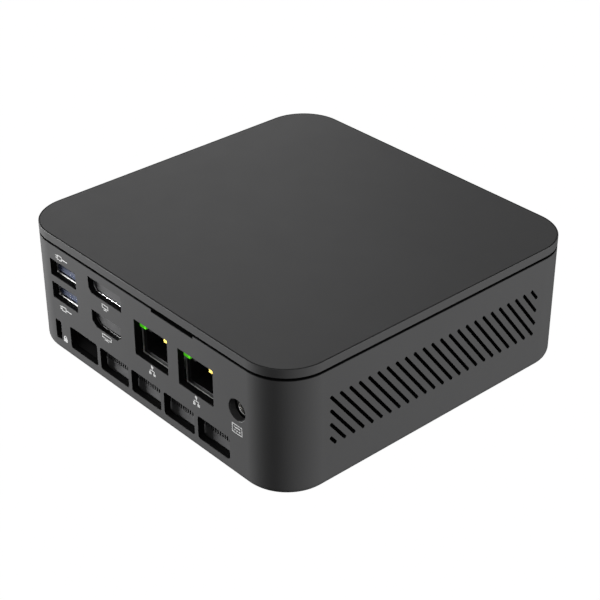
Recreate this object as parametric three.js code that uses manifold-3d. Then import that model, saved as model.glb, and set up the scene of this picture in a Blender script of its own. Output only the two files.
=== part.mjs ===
// A palm-sized desktop computer: a rounded-square case with a lift-off top cover, a row of
// sockets on the back, slanted air slots in both sides and the working parts inside.
//
// Units are millimetres, +Z is up. The front (power button) faces -Y and the back (sockets)
// faces +Y. The origin is the centre of the footprint, on the surface that the feet rest on.
// Heights named in this file count from the underside of the case, which the feet lift up.

import * as THREE from "three";
import { mergeVertices } from "three/addons/utils/BufferGeometryUtils.js";
import Module from "manifold-3d";

const wasm = await Module();
wasm.setup();

// ---- Driving dimensions --------------------------------------------------------------------

const WIDTH = 128.4;
const DEPTH = 124.9;
const HEIGHT = 44;
const FOOT_HEIGHT = 2;
const CORNER_RADIUS = 15.3;
const WALL = 2.3;
const GAP = 0.3; // air between two pieces that touch on the real object

const BASE_ROUND = 2.5; // radius along the case's lower edge
const LID_EDGE = 2.9;
const LID_SEAM = 0.8;
const LID_ROUND = 0.8;
const RIM_TOP = HEIGHT - LID_EDGE - LID_SEAM;
const FLOOR_TOP = 3.6;
const COVER_THICKNESS = 1.6;

const BOARD_BOTTOM = 17.7;
const BOARD_THICKNESS = 1.6;
const BOARD_TOP = BOARD_BOTTOM + BOARD_THICKNESS;
const PART_BASE = BOARD_TOP + GAP; // underside of everything that is soldered to the board

const BACK = DEPTH / 2;
const INNER_BACK = BACK - WALL;
const SIDE = WIDTH / 2;
const CORNER_X = SIDE - CORNER_RADIUS; // centre of a case corner
const CORNER_Y = BACK - CORNER_RADIUS;
const BOSS_X = CORNER_X + 4.6;
const BOSS_Y = CORNER_Y + 4.6;

const CORNER_STEPS = 5; // the case corners have twice this many facets
const ROUND_STEPS = 20; // facets round a button, jack or foot

// Back panel, left to right as seen from the back. x is the centre, z the height of the centre.
const USB_STACK = { x: 41.4, lower: 23.28, upper: 31.84, cutW: 13.7, cutH: 5.9 };
const DISPLAYPORT = { x: 18.8, z: 34.5, cutW: 16.9, cutH: 5.5 };
const HDMI = { x: 19, z: 22.7, cutW: 15.1, cutH: 5.6 };
const LAN = { xs: [-4.2, -25.7], z: 26.2, cutW: 16.2, cutH: 12.6 };
const POWER_JACK = { x: -44.6, z: 24.5, cutR: 3.65 };
const LOCK_SLOT = { x: 46.9, z: 8.35, w: 3, h: 7.1 };
const VENT = { centre: -0.3, pitch: 16.53, count: 5, w: 14.7, h: 8.1, z: 8.55, corner: 0.8 };
const PRY_NOTCH = { x: -15.2, w: 19.7, h: 1 };

// Front panel, left to right as seen from the front.
const FRONT_Z = 23.4;
const AUDIO_X = -46;
const USB_C_X = -31;
const FRONT_USB_XS = [-13.5, 5];
const BUTTON_X = 41;
const LIGHT_X = 51;

// Two bosses under the case take the screws of a wall or monitor bracket.
const BRACKET = { x: 37.5, y: -24, holeR: 2, bossR: 5, proud: 0.4 };

// Slanted air slots in each side: a run of parallel slots clipped to a window.
const SLOTS = { angle: 52, pitch: 3.72, width: 1, y0: -44.2, y1: 43.8, z0: 14, z1: 30.5 };

// Sockets sit back from the outer face of their wall.
const BACK_SOCKET_Y = BACK - 2.8;
const LAN_FACE_Y = BACK - WALL - GAP;
const FRONT_USB_Y = BACK_SOCKET_Y;
const USB_C_Y = BACK - 1;

const FAN = { x: -9, y: 12, r: 22.5, hubR: 10.5, blades: 25, bottom: 3, top: 12.6 };
const FAN_BOX = { x0: -41, x1: 23, y0: -16, y1: 40, wall: 1 };
const FINS = { x0: -41.5, x1: 24.5, y0: 40.8, y1: BACK - 2.9, z0: 3.6, z1: 12.4, panelTop: 8.1 };
const FIN_PITCH = 1.1;
const FIN_THICKNESS = 0.45;

// ---- Materials -----------------------------------------------------------------------------

const material = (color, roughness, metalness = 0) =>
  new THREE.MeshStandardMaterial({ color, roughness, metalness });

const casePlastic = material(0x4c4c4d, 0.55);
const blackPlastic = material(0x151516, 0.5);
const bluePlastic = material(0x3c4d78, 0.45);
const rubber = material(0x1a1a1a, 0.9);
const nickel = material(0xc9c9c6, 0.28, 1);
const steel = material(0x8f9094, 0.35, 1);
const copper = material(0xb8714b, 0.35, 1);
const aluminium = material(0x4a4a4c, 0.45, 1);
const boardLaminate = material(0x10301f, 0.5);
const chipBlack = material(0x1c1c1e, 0.6);
const greenLight = material(0x55d62a, 0.3);
const yellowLight = material(0xf3d24e, 0.3);
const clearLight = material(0xdde6ee, 0.25);

// The four corners in order round the case, by the signs of their x and y.
const corners = [[1, 1], [-1, 1], [-1, -1], [1, -1]];
const cornerNames = ["rear_right", "rear_left", "front_left", "front_right"];

// ---- Solids --------------------------------------------------------------------------------

function toSolid(geometry) {
  const bare = geometry.index ? geometry.toNonIndexed() : geometry.clone();
  bare.deleteAttribute("normal");
  bare.deleteAttribute("uv");
  const merged = mergeVertices(bare, 1e-4);
  return new wasm.Manifold(
    new wasm.Mesh({
      numProp: 3,
      vertProperties: merged.attributes.position.array,
      triVerts: new Uint32Array(merged.index.array),
    }),
  );
}

function toGeometry(solid) {
  const mesh = solid.getMesh();
  const geometry = new THREE.BufferGeometry();
  geometry.setAttribute("position", new THREE.BufferAttribute(mesh.vertProperties, 3));
  geometry.setIndex(new THREE.BufferAttribute(mesh.triVerts, 1));
  geometry.computeVertexNormals();
  return geometry;
}

const union = (solids) => solids.reduce((sum, next) => sum.add(next));
const cut = (solid, tools) => (tools.length ? solid.subtract(union(tools)) : solid);

// A box given by its lowest and highest corners.
function box(x0, y0, z0, x1, y1, z1) {
  const geometry = new THREE.BoxGeometry(x1 - x0, y1 - y0, z1 - z0);
  return toSolid(geometry.translate((x0 + x1) / 2, (y0 + y1) / 2, (z0 + z1) / 2));
}

// A box centred on x, standing between two heights and two depths.
const block = (x, w, y0, y1, z0, z1) => box(x - w / 2, y0, z0, x + w / 2, y1, z1);

const frames = {
  X: new THREE.Matrix4().makeBasis(
    new THREE.Vector3(0, 1, 0), new THREE.Vector3(0, 0, 1), new THREE.Vector3(1, 0, 0)),
  Y: new THREE.Matrix4().makeBasis(
    new THREE.Vector3(-1, 0, 0), new THREE.Vector3(0, 0, 1), new THREE.Vector3(0, 1, 0)),
  Z: new THREE.Matrix4(),
};

// Extrudes a flat shape along an axis from one place to another. A shape drawn for X lies in
// (y, z), for Y in (-x, z), which is how the back is seen, and for Z in (x, y).
function prism(shape, axis, from, to, curveSegments = 2) {
  const depth = to - from;
  const geometry = new THREE.ExtrudeGeometry(shape, { depth, bevelEnabled: false, curveSegments });
  return toSolid(geometry.translate(0, 0, from).applyMatrix4(frames[axis]));
}

function disc(x, y, r, z0, z1, steps = ROUND_STEPS) {
  const geometry = new THREE.CylinderGeometry(r, r, z1 - z0, steps);
  return toSolid(geometry.rotateX(Math.PI / 2).translate(x, y, (z0 + z1) / 2));
}

// A round bar along Y.
function rod(x, z, r, y0, y1, steps = ROUND_STEPS) {
  return toSolid(new THREE.CylinderGeometry(r, r, y1 - y0, steps).translate(x, (y0 + y1) / 2, z));
}

// A turned solid: profile points are [radius, height] from the bottom up, starting and ending
// on the axis.
function turned(profile, steps = ROUND_STEPS) {
  const points = profile.map(([r, z]) => new THREE.Vector2(r, z));
  return toSolid(new THREE.LatheGeometry(points, steps).rotateX(Math.PI / 2));
}

function roundedRect(w, h, r, x = 0, y = 0) {
  const shape = new THREE.Shape();
  const [x0, x1, y0, y1] = [x - w / 2, x + w / 2, y - h / 2, y + h / 2];
  shape.moveTo(x0 + r, y0);
  shape.lineTo(x1 - r, y0);
  shape.absarc(x1 - r, y0 + r, r, -Math.PI / 2, 0);
  shape.lineTo(x1, y1 - r);
  shape.absarc(x1 - r, y1 - r, r, 0, Math.PI / 2);
  shape.lineTo(x0 + r, y1);
  shape.absarc(x0 + r, y1 - r, r, Math.PI / 2, Math.PI);
  shape.lineTo(x0, y0 + r);
  shape.absarc(x0 + r, y0 + r, r, Math.PI, Math.PI * 1.5);
  return shape;
}

function polygon(points) {
  return new THREE.Shape(points.map(([x, y]) => new THREE.Vector2(x, y)));
}

// The case outline pulled in by inset, as a vertical prism.
function caseBlock(inset, z0, z1) {
  const outline = roundedRect(WIDTH - 2 * inset, DEPTH - 2 * inset, CORNER_RADIUS - inset);
  return prism(outline, "Z", z0, z1, CORNER_STEPS);
}

// The case outline pulled in by inset, as a ring of points at one height.
function caseRing(inset, z) {
  const facets = 2 * CORNER_STEPS;
  const r = CORNER_RADIUS - inset;
  return corners.flatMap(([sx, sy], quarter) =>
    Array.from({ length: facets + 1 }, (_, i) => {
      const a = (quarter + i / facets) * (Math.PI / 2);
      return [sx * CORNER_X + r * Math.cos(a), sy * CORNER_Y + r * Math.sin(a), z];
    }));
}

// A stack of case outlines, each [inset, height], skinned into one solid.
function caseLoft(levels) {
  const rings = levels.map(([inset, z]) => caseRing(inset, z));
  const n = rings[0].length;
  const positions = [...rings.flat(), [0, 0, levels[0][1]], [0, 0, levels.at(-1)[1]]];
  const [low, high] = [positions.length - 2, positions.length - 1];
  const faces = [];
  for (let i = 0; i < n; i++) {
    const j = (i + 1) % n;
    faces.push([low, j, i]);
    for (let ring = 0; ring < rings.length - 1; ring++) {
      const [a, b] = [ring * n, (ring + 1) * n];
      faces.push([a + i, a + j, b + j], [a + i, b + j, b + i]);
    }
    const last = (rings.length - 1) * n;
    faces.push([last + i, last + j, high]);
  }
  const geometry = new THREE.BufferGeometry();
  const flat = new Float32Array(positions.flat());
  geometry.setAttribute("position", new THREE.BufferAttribute(flat, 3));
  geometry.setIndex(faces.flat());
  return toSolid(geometry);
}

// Insets and heights of a quarter round of radius r, from its horizontal end up to the wall.
function quarterRound(r, z, steps) {
  return Array.from({ length: steps + 1 }, (_, i) => {
    const a = (i / steps) * (Math.PI / 2);
    return [r * (1 - Math.sin(a)), z + r * (1 - Math.cos(a))];
  });
}

// ---- The object ----------------------------------------------------------------------------

const miniPc = new THREE.Group();
const caseFrame = new THREE.Group();
caseFrame.position.z = FOOT_HEIGHT;
miniPc.add(caseFrame);

function add(name, solid, look) {
  const mesh = new THREE.Mesh(toGeometry(solid), look);
  mesh.name = name;
  caseFrame.add(mesh);
  return mesh;
}

// ---- Case ----------------------------------------------------------------------------------

// Outlines of the video sockets' cut-outs, as seen from the back: x grows to the right.
function hdmiOutline(w, h, x = 0, z = 0) {
  const [side, foot] = [w / 2, w / 2 - 2.1];
  return polygon([
    [x - foot, z - h / 2], [x + foot, z - h / 2], [x + side, z - h / 2 + 1.7],
    [x + side, z + h / 2], [x - side, z + h / 2], [x - side, z - h / 2 + 1.7],
  ]);
}

function displayportOutline(w, h, x = 0, z = 0) {
  return polygon([
    [x - w / 2 + 1.4, z - h / 2], [x + w / 2, z - h / 2],
    [x + w / 2, z + h / 2], [x - w / 2, z + h / 2], [x - w / 2, z - h / 2 + 1.6],
  ]);
}

// Everything cut through the back wall.
function backCutouts() {
  const through = (shape) => prism(shape, "Y", INNER_BACK - 1, BACK + 1, 1);
  const cutouts = [
    through(displayportOutline(DISPLAYPORT.cutW, DISPLAYPORT.cutH, -DISPLAYPORT.x, DISPLAYPORT.z)),
    through(hdmiOutline(HDMI.cutW, HDMI.cutH, -HDMI.x, HDMI.z)),
    through(roundedRect(LOCK_SLOT.w, LOCK_SLOT.h, 0.4, -LOCK_SLOT.x, LOCK_SLOT.z)),
    rod(POWER_JACK.x, POWER_JACK.z, POWER_JACK.cutR, INNER_BACK - 1, BACK + 1),
    block(PRY_NOTCH.x, PRY_NOTCH.w, INNER_BACK - 1, BACK + 1, RIM_TOP - PRY_NOTCH.h, RIM_TOP + 1),
  ];
  for (const z of [USB_STACK.lower, USB_STACK.upper]) {
    cutouts.push(through(roundedRect(USB_STACK.cutW, USB_STACK.cutH, 0.3, -USB_STACK.x, z)));
  }
  for (const x of LAN.xs) {
    cutouts.push(through(roundedRect(LAN.cutW, LAN.cutH, 0.4, -x, LAN.z)));
  }
  for (let i = 0; i < VENT.count; i++) {
    const x = VENT.centre + (i - (VENT.count - 1) / 2) * VENT.pitch;
    cutouts.push(through(roundedRect(VENT.w, VENT.h, VENT.corner, -x, VENT.z)));
  }
  return cutouts;
}

// Everything cut through the front wall.
function frontCutouts() {
  const through = (shape, segments) => prism(shape, "Y", -BACK - 1, -INNER_BACK + 1, segments);
  return [
    rod(AUDIO_X, FRONT_Z, 3.3, -BACK - 1, -INNER_BACK + 1),
    rod(BUTTON_X, FRONT_Z, 4.95, -BACK - 1, -INNER_BACK + 1),
    rod(LIGHT_X, FRONT_Z, 1.1, -BACK - 1, -INNER_BACK + 1, 12),
    through(roundedRect(10, 4.2, 2.09, -USB_C_X, FRONT_Z), 2),
    ...FRONT_USB_XS.map((x) =>
      through(roundedRect(USB_STACK.cutW, USB_STACK.cutH, 0.3, -x, FRONT_Z), 1)),
  ];
}

// One side's air slots, in (y, z): each runs from upper rear to lower front, with round ends.
function sideSlots(x0, x1) {
  const lean = 1 / Math.tan(THREE.MathUtils.degToRad(SLOTS.angle));
  const { y0, y1, z0, z1, pitch, width } = SLOTS;
  const reach = (z1 - z0) * lean;
  const slots = [];
  for (let top = y1 + Math.floor(reach / pitch) * pitch; top > y0; top -= pitch) {
    const startY = Math.min(top, y1);
    const startZ = z1 - (top - startY) / lean;
    const endY = Math.max(top - reach, y0);
    const endZ = z1 - (top - endY) / lean;
    const length = Math.hypot(startY - endY, startZ - endZ);
    if (length < width) continue;
    const shape = roundedRect(length + width, width, width / 2 - 1e-3);
    const slot = new THREE.ExtrudeGeometry(shape, {
      depth: x1 - x0, bevelEnabled: false, curveSegments: 1,
    });
    slot.rotateZ(Math.atan2(startZ - endZ, startY - endY));
    slot.translate((startY + endY) / 2, (startZ + endZ) / 2, x0).applyMatrix4(frames.X);
    slots.push(toSolid(slot));
  }
  return slots;
}

// A pillar in each corner carries the board on top and takes the cover's screw from below.
function cornerBosses() {
  return corners.map(([sx, sy]) => {
    const rib = new THREE.BoxGeometry(9, 2.4, BOARD_BOTTOM - GAP - FLOOR_TOP);
    rib.translate(10, 0, (BOARD_BOTTOM - GAP + FLOOR_TOP) / 2);
    rib.rotateZ(Math.atan2(sy, sx)).translate(sx * CORNER_X, sy * CORNER_Y, 0);
    const pillar = disc(sx * BOSS_X, sy * BOSS_Y, 3.6, 1.9, BOARD_BOTTOM - GAP);
    return pillar.add(toSolid(rib));
  });
}

function mainShell() {
  const outer = caseLoft([...quarterRound(BASE_ROUND, 0, 4), [0, RIM_TOP]]);
  const hollow = caseBlock(WALL, FLOOR_TOP, RIM_TOP + 1);
  const coverPocket = caseBlock(3.7, -1, COVER_THICKNESS + GAP);
  const floorOpening = caseBlock(7, -1, FLOOR_TOP + 1);
  const lidSeats = [-30, 30].flatMap((y) => [-1, 1].map((s) => {
    const x = s * (SIDE - WALL - 0.8);
    return box(x - 1.2, y - 6, 36.5, x + 1.2, y + 6, 38);
  }));
  const screwHoles = corners.flatMap(([sx, sy]) => [
    disc(sx * BOSS_X, sy * BOSS_Y, 1.65, 1, 8.2, 12),
    disc(sx * BOSS_X, sy * BOSS_Y, 1.65, 12, BOARD_BOTTOM, 12),
  ]);
  const walls = cut(outer, [hollow, coverPocket, floorOpening]);
  const furnished = union([walls, ...lidSeats, ...cornerBosses()]);
  return cut(furnished, [
    ...screwHoles,
    ...backCutouts(),
    ...frontCutouts(),
    ...sideSlots(-SIDE - 1, -SIDE + WALL + 0.5),
    ...sideSlots(SIDE - WALL - 0.5, SIDE + 1),
  ]);
}

// A shallow lid with a rounded upper edge and a skirt that drops inside the walls.
function topCover() {
  const edge = quarterRound(LID_ROUND, 0, 3).map(([inset, z]) => [inset, HEIGHT - z]).reverse();
  const cap = caseLoft([[0, HEIGHT - LID_EDGE], ...edge]);
  const underside = caseBlock(4.2, HEIGHT - LID_EDGE - 1, HEIGHT - 1.6);
  const skirt = caseBlock(WALL + 0.4, 38.3, HEIGHT - LID_EDGE + 0.5);
  return cut(cap.add(skirt), [underside, caseBlock(4.2, 38, HEIGHT - 1.6)]);
}

// The plate underneath, with the fan's intake slots, screw holes and two bosses for a bracket.
function bottomCover() {
  const intake = [];
  const intakeR = 20;
  for (let dy = -18; dy <= 18; dy += 4) {
    const half = Math.sqrt(intakeR ** 2 - dy ** 2);
    const slot = roundedRect(2 * half, 2, 0.99, FAN.x, FAN.y + dy);
    intake.push(prism(slot, "Z", -1, COVER_THICKNESS + 1, 1));
  }
  const screwHoles = corners.map(([sx, sy]) =>
    disc(sx * BOSS_X, sy * BOSS_Y, 1.7, -1, COVER_THICKNESS + 1, 12));
  const { x, y, holeR, bossR, proud } = BRACKET;
  const bosses = [-1, 1].map((s) => disc(s * x, y, bossR, -proud, COVER_THICKNESS / 2, 24));
  const bracketHoles = [-1, 1].map((s) => disc(s * x, y, holeR, -1, COVER_THICKNESS + 1, 16));
  const plate = union([caseBlock(4, 0, COVER_THICKNESS), ...bosses]);
  return cut(plate, [...intake, ...screwHoles, ...bracketHoles]);
}

function addCase() {
  add("main_shell", mainShell(), casePlastic);
  add("top_cover", topCover(), casePlastic);
  add("bottom_cover", bottomCover(), casePlastic);
  corners.forEach(([sx, sy], i) => {
    const foot = turned([
      [0, -FOOT_HEIGHT], [6.6, -FOOT_HEIGHT], [7, -1.4], [7, -GAP], [0, -GAP],
    ]);
    const footMesh = add("foot_" + cornerNames[i], foot, rubber);
    footMesh.position.set(sx * 43.5, sy * 41.5, 0);
    const screw = turned([
      [0, -1.5], [2.3, -1.5], [2.8, -1.1], [2.8, -GAP], [1.3, -GAP], [1.3, 7.6], [0, 7.6],
    ], 12);
    const recess = union([0, Math.PI / 2].map((turn) =>
      toSolid(new THREE.BoxGeometry(2.8, 0.7, 1.2).rotateZ(turn).translate(0, 0, -1.5))));
    const screwMesh = add("cover_screw_" + cornerNames[i], screw.subtract(recess), steel);
    screwMesh.position.set(sx * BOSS_X, sy * BOSS_Y, 0);
  });
}

// ---- Sockets -------------------------------------------------------------------------------
// A socket is drawn with its mouth in the plane y = 0, opening towards +Y, centred on x and z.

function placed(mesh, x, y, z, turn = 0) {
  mesh.position.set(x, y, z);
  mesh.rotation.z = turn;
  return mesh;
}

const USB_MOUTH = { w: 12.5, h: 5.12, depth: 11 };

// The flat blue tongue that carries the contacts: in the upper half of the mouth (side 1), or in
// the lower half where the socket is mounted the other way up (side -1).
function usbTongue(side) {
  return block(0, 11.1, GAP - USB_MOUTH.depth, -0.9, side * 1.15 - 0.9, side * 1.15 + 0.9);
}

function usbMouth(z = 0) {
  return block(0, USB_MOUTH.w, -USB_MOUTH.depth, 1, z - USB_MOUTH.h / 2, z + USB_MOUTH.h / 2);
}

function addUsbStack() {
  const { x, lower, upper } = USB_STACK;
  const shell = block(0, 13.4, -17.5, 0, PART_BASE - lower, upper - lower + 3);
  const stack = cut(shell, [usbMouth(), usbMouth(upper - lower)]);
  placed(add("usb_stack_shell", stack, nickel), x, BACK_SOCKET_Y, lower);
  placed(add("usb_lower_tongue", usbTongue(-1), bluePlastic), x, BACK_SOCKET_Y, lower);
  placed(add("usb_upper_tongue", usbTongue(-1), bluePlastic), x, BACK_SOCKET_Y, upper);
}

function addFrontUsb() {
  ["left", "right"].forEach((side, i) => {
    const shell = block(0, 13.4, -14, 0, PART_BASE - FRONT_Z, 3).subtract(usbMouth());
    const x = FRONT_USB_XS[i];
    placed(add(`front_usb_${side}_shell`, shell, nickel), x, -FRONT_USB_Y, FRONT_Z, Math.PI);
    const tongue = add(`front_usb_${side}_tongue`, usbTongue(1), bluePlastic);
    placed(tongue, x, -FRONT_USB_Y, FRONT_Z, Math.PI);
  });
}

// The two video sockets stand one over the other in a black housing.
function addVideoStack() {
  const depth = 12;
  const metal = 0.35;
  const hdmiShell = prism(hdmiOutline(14.6, 5.2), "Y", -depth, 0);
  const hdmiMouth = prism(hdmiOutline(14.6 - 2 * metal, 5.2 - 2 * metal), "Y", 1 - depth, 1);
  const hdmi = add("hdmi_shell", hdmiShell.subtract(hdmiMouth), nickel);
  placed(hdmi, HDMI.x, BACK_SOCKET_Y, HDMI.z);
  const hdmiTongue = block(0, 10.6, 1 - depth + GAP, -1, 0.1, 1.1);
  placed(add("hdmi_tongue", hdmiTongue, blackPlastic), HDMI.x, BACK_SOCKET_Y, HDMI.z);

  const dpShell = prism(displayportOutline(16.4, 5.1), "Y", -depth, 0);
  const dpMouth = prism(displayportOutline(16.4 - 2 * metal, 5.1 - 2 * metal), "Y", 1 - depth, 1);
  const dp = add("displayport_shell", dpShell.subtract(dpMouth), nickel);
  placed(dp, DISPLAYPORT.x, BACK_SOCKET_Y, DISPLAYPORT.z);
  const dpTongue = block(0, 12.6, 1 - depth + GAP, -1, -0.2, 0.9);
  placed(add("displayport_tongue", dpTongue, blackPlastic), DISPLAYPORT.x, BACK_SOCKET_Y,
    DISPLAYPORT.z);

  const back = BACK_SOCKET_Y - depth - GAP;
  const upright = block(HDMI.x, 15, back - 6, back, PART_BASE, 36.5);
  const shelf = block(HDMI.x, 15, back - 1, BACK_SOCKET_Y - 1, HDMI.z + 2.9, DISPLAYPORT.z - 2.9);
  add("video_stack_housing", upright.add(shelf), blackPlastic);
}

// A network socket: a metal can with a stepped mouth and a light pipe in each upper corner.
function addLanSockets() {
  const can = { w: 16, depth: 21, top: 6.6, bottom: PART_BASE - LAN.z };
  const light = { x: 6, z: 4.5, w: 2.9, h: 2.5, depth: 4, proud: 0.6 };
  LAN.xs.forEach((x, i) => {
    const lightPocket = (s) => block(s * light.x, light.w + 2 * GAP, -light.depth - GAP, 1,
      light.z - light.h / 2 - GAP, light.z + light.h / 2 + GAP);
    const shell = cut(block(0, can.w, -can.depth, 0, can.bottom, can.top), [
      block(0, 12.4, -14, 1, -5.3, 2.7),
      block(0, 6.4, -14, 1, 2, 5.2),
      lightPocket(1),
      lightPocket(-1),
    ]);
    placed(add(`lan_${i + 1}_shell`, shell, nickel), x, LAN_FACE_Y, LAN.z);
    for (const [name, s, look] of [["green", 1, greenLight], ["yellow", -1, yellowLight]]) {
      const pipe = block(s * light.x, light.w, -light.depth, light.proud,
        light.z - light.h / 2, light.z + light.h / 2);
      placed(add(`lan_${i + 1}_${name}_light`, pipe, look), x, LAN_FACE_Y, LAN.z);
    }
  });
}

function addPowerJack() {
  const { x, z } = POWER_JACK;
  const bore = rod(0, 0, 3.1, -9.5, 1);
  const body = block(0, 9.6, -13.5, 0, PART_BASE - z, 5);
  placed(add("dc_jack_housing", body.subtract(bore), blackPlastic), x, BACK_SOCKET_Y, z);
  const pin = rod(0, 0, 1.05, -9.2, -1.2, 12);
  placed(add("dc_jack_pin", pin, nickel), x, BACK_SOCKET_Y, z);
}

function addFrontSmallSockets() {
  const stadium = (w, h) => roundedRect(w, h, h / 2 - 0.01);
  const foot = block(0, 7.6, -9.5, -2, PART_BASE - FRONT_Z, -0.5);
  const shell = prism(stadium(9.3, 3.5), "Y", -9.5, 0).add(foot).subtract(
    prism(stadium(8.7, 2.9), "Y", -8.5, 1));
  placed(add("usb_c_shell", shell, nickel), USB_C_X, -USB_C_Y, FRONT_Z, Math.PI);
  const tongue = block(0, 6.7, -8.5 + GAP, -0.8, -0.35, 0.35);
  placed(add("usb_c_tongue", tongue, blackPlastic), USB_C_X, -USB_C_Y, FRONT_Z, Math.PI);

  const nose = rod(0, 0, 2.95, -3, 0);
  const body = block(0, 6.6, -13, -WALL, PART_BASE - FRONT_Z, 3.2);
  const jack = nose.add(body).subtract(rod(0, 0, 1.8, -12, 1, 16));
  placed(add("audio_jack", jack, blackPlastic), AUDIO_X, -BACK + 0.4, FRONT_Z, Math.PI);
}

// ---- Power button --------------------------------------------------------------------------

const BUTTON_TRAVEL = 0.6;

function addPowerButton() {
  const face = -BACK + 0.2;
  const flangeY = -INNER_BACK + GAP;
  const cap = union([
    rod(BUTTON_X, FRONT_Z, 4.6, face, flangeY + 0.5),
    rod(BUTTON_X, FRONT_Z, 5.6, flangeY, flangeY + 1),
    rod(BUTTON_X, FRONT_Z, 1.5, flangeY + 0.5, flangeY + 2.6, 12),
  ]);
  add("power_button", cap, casePlastic);
  const switchY = flangeY + 2.6 + BUTTON_TRAVEL + GAP;
  add("power_switch", block(BUTTON_X, 6, switchY, switchY + 3.5, PART_BASE, FRONT_Z + 3), blackPlastic);
  add("power_light", rod(LIGHT_X, FRONT_Z, 0.8, -BACK + 0.1, -INNER_BACK + 1.6, 12), clearLight);
}

// ---- Board ---------------------------------------------------------------------------------

function addBoard() {
  const inset = 4.85;
  const holes = corners.map(([sx, sy]) =>
    disc(sx * BOSS_X, sy * BOSS_Y, 1.7, BOARD_BOTTOM - 1, BOARD_TOP + 1, 12));
  add("mainboard", cut(caseBlock(inset, BOARD_BOTTOM, BOARD_TOP), holes), boardLaminate);
  corners.forEach(([sx, sy], i) => {
    const screw = turned([
      [0, 12.6], [1.3, 12.6], [1.3, PART_BASE], [2.6, PART_BASE], [2.6, PART_BASE + 0.9],
      [1.9, PART_BASE + 1.5], [0, PART_BASE + 1.5],
    ], 12);
    const mesh = add("board_screw_" + cornerNames[i], screw, steel);
    mesh.position.set(sx * BOSS_X, sy * BOSS_Y, 0);
  });
}

// Two memory modules lie flat, one behind the other, each in a socket along its rear edge.
function addMemory() {
  const x = -22.5;
  const module = { w: 67.6, length: 30, z: 22, t: 1.2 };
  [["rear", 34], ["front", -2.5]].forEach(([side, edge]) => {
    const arm = (s) => block(x + s * (module.w / 2 + 1.3), 1.6, edge - 22, edge - 1, PART_BASE, 24);
    const bar = block(x, module.w + 4.2, edge - 3, edge + 2.5, PART_BASE, 24.8);
    const slot = block(x, module.w + 2 * GAP, edge - 4, edge + GAP,
      module.z - GAP, module.z + module.t + GAP);
    add(`memory_socket_${side}`, union([bar, arm(1), arm(-1)]).subtract(slot), blackPlastic);
    const chips = [-24, -8, 8, 24].map((dx) =>
      block(x + dx, 11, edge - 24, edge - 12, module.z + 0.5, module.z + module.t + 1));
    const slab = block(x, module.w, edge - module.length, edge, module.z, module.z + module.t);
    add(`memory_module_${side}`, union([slab, ...chips]), boardLaminate);
  });
}

// A card on an edge socket: the storage drive and the radio are both of this kind.
function addCard(name, x, edge, length, chips) {
  const [w, z, t] = [22, 21.6, 0.8];
  const socket = block(x, w, edge - 3, edge + 2.5, PART_BASE, 24);
  const slot = block(x, w + 1, edge - 4, edge + GAP, z - GAP, z + t + GAP);
  add(`${name}_socket`, socket.subtract(slot), blackPlastic);
  const slab = block(x, w, edge - length, edge, z, z + t);
  const notch = disc(x, edge - length, 2.2, z - 1, z + t + 1, 12);
  const topped = chips.map(([from, to, width]) =>
    block(x, width, edge - to, edge - from, z + 0.3, z + t + 1.2));
  add(`${name}_card`, union([slab, ...topped]).subtract(notch), chipBlack);
}

function addCards() {
  addCard("storage", 25.5, 26.5, 80, [[8, 22, 16], [28, 46, 14], [50, 68, 14]]);
  addCard("radio", 48, 31, 30, [[6, 22, 17]]);
  const screw = turned([
    [0, PART_BASE], [1.7, PART_BASE], [1.7, 23], [2.9, 23], [2.9, 23.8], [0, 23.8],
  ], 12);
  const mesh = add("storage_screw", screw, steel);
  mesh.position.set(25.5, -53.5, 0);
  add("coin_cell", disc(48, -26, 10, PART_BASE, PART_BASE + 3.2, 24), steel);
}

// Flat aerials stand against the inside of the front wall.
function addAerials() {
  [["left", -1], ["right", 1]].forEach(([side, s]) => {
    const y = -INNER_BACK + GAP;
    add(`aerial_${side}`, block(s * 34, 34, y, y + 0.6, 29.5, 36.5), chipBlack);
  });
}

// ---- Cooling -------------------------------------------------------------------------------

const PIPE = { w: 8, t: 2.2, z: FINS.z1 + GAP + 1.1 };

// The flattened heat pipe runs from under the processor's plate to the top of the fins.
function heatPipe() {
  const section = roundedRect(PIPE.t, PIPE.w, PIPE.t / 2 - 0.01);
  const route = new THREE.CatmullRomCurve3([
    [38, -20], [34, -6], [31, 10], [30, 24], [30, 34], [27, 43], [19, 49], [8, 50.5], [-38, 50.5],
  ].map(([x, y]) => new THREE.Vector3(x, y, PIPE.z)));
  const geometry = new THREE.ExtrudeGeometry(section, {
    steps: 24, curveSegments: 1, extrudePath: route,
  });
  return toSolid(geometry);
}

// Upright fins joined by a sheet along the bottom: one comb drawn in (-x, z), run along Y. A
// panel across the lower part of the rear ends leaves the fins showing as a row of slits.
function finStack() {
  const { x0, x1, y0, y1, z0, z1, panelTop } = FINS;
  const sheet = z0 + 0.5;
  const points = [[-x0, z0], [-x1, z0]];
  const count = Math.floor((x1 - x0 - FIN_THICKNESS) / FIN_PITCH);
  const first = -x1;
  for (let i = 0; i <= count; i++) {
    const left = first + i * FIN_PITCH;
    const right = Math.min(left + FIN_THICKNESS, -x0);
    points.push([left, sheet], [left, z1], [right, z1], [right, sheet]);
  }
  points.push([-x0, sheet]);
  const outline = points.filter(([x, z], i) => !i || x !== points[i - 1][0] || z !== points[i - 1][1]);
  const panel = box(x0, y1 - 0.5, z0, x1, y1, panelTop);
  return prism(polygon(outline.reverse()), "Y", y0, y1).add(panel);
}

function addCooling() {
  const cpuTop = BOARD_BOTTOM - GAP;
  const cpuBottom = cpuTop - 0.8;
  add("cpu_package", block(32, 34, -22, 4, cpuBottom, cpuTop), chipBlack);
  const plateTop = cpuBottom - GAP;
  const plateBottom = PIPE.z + PIPE.t / 2 + GAP;
  add("cold_plate", block(34, 40, -27, 9, plateBottom, plateTop), copper);
  add("heat_pipe", heatPipe(), copper);
  add("fin_stack", finStack(), aluminium);
}

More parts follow.
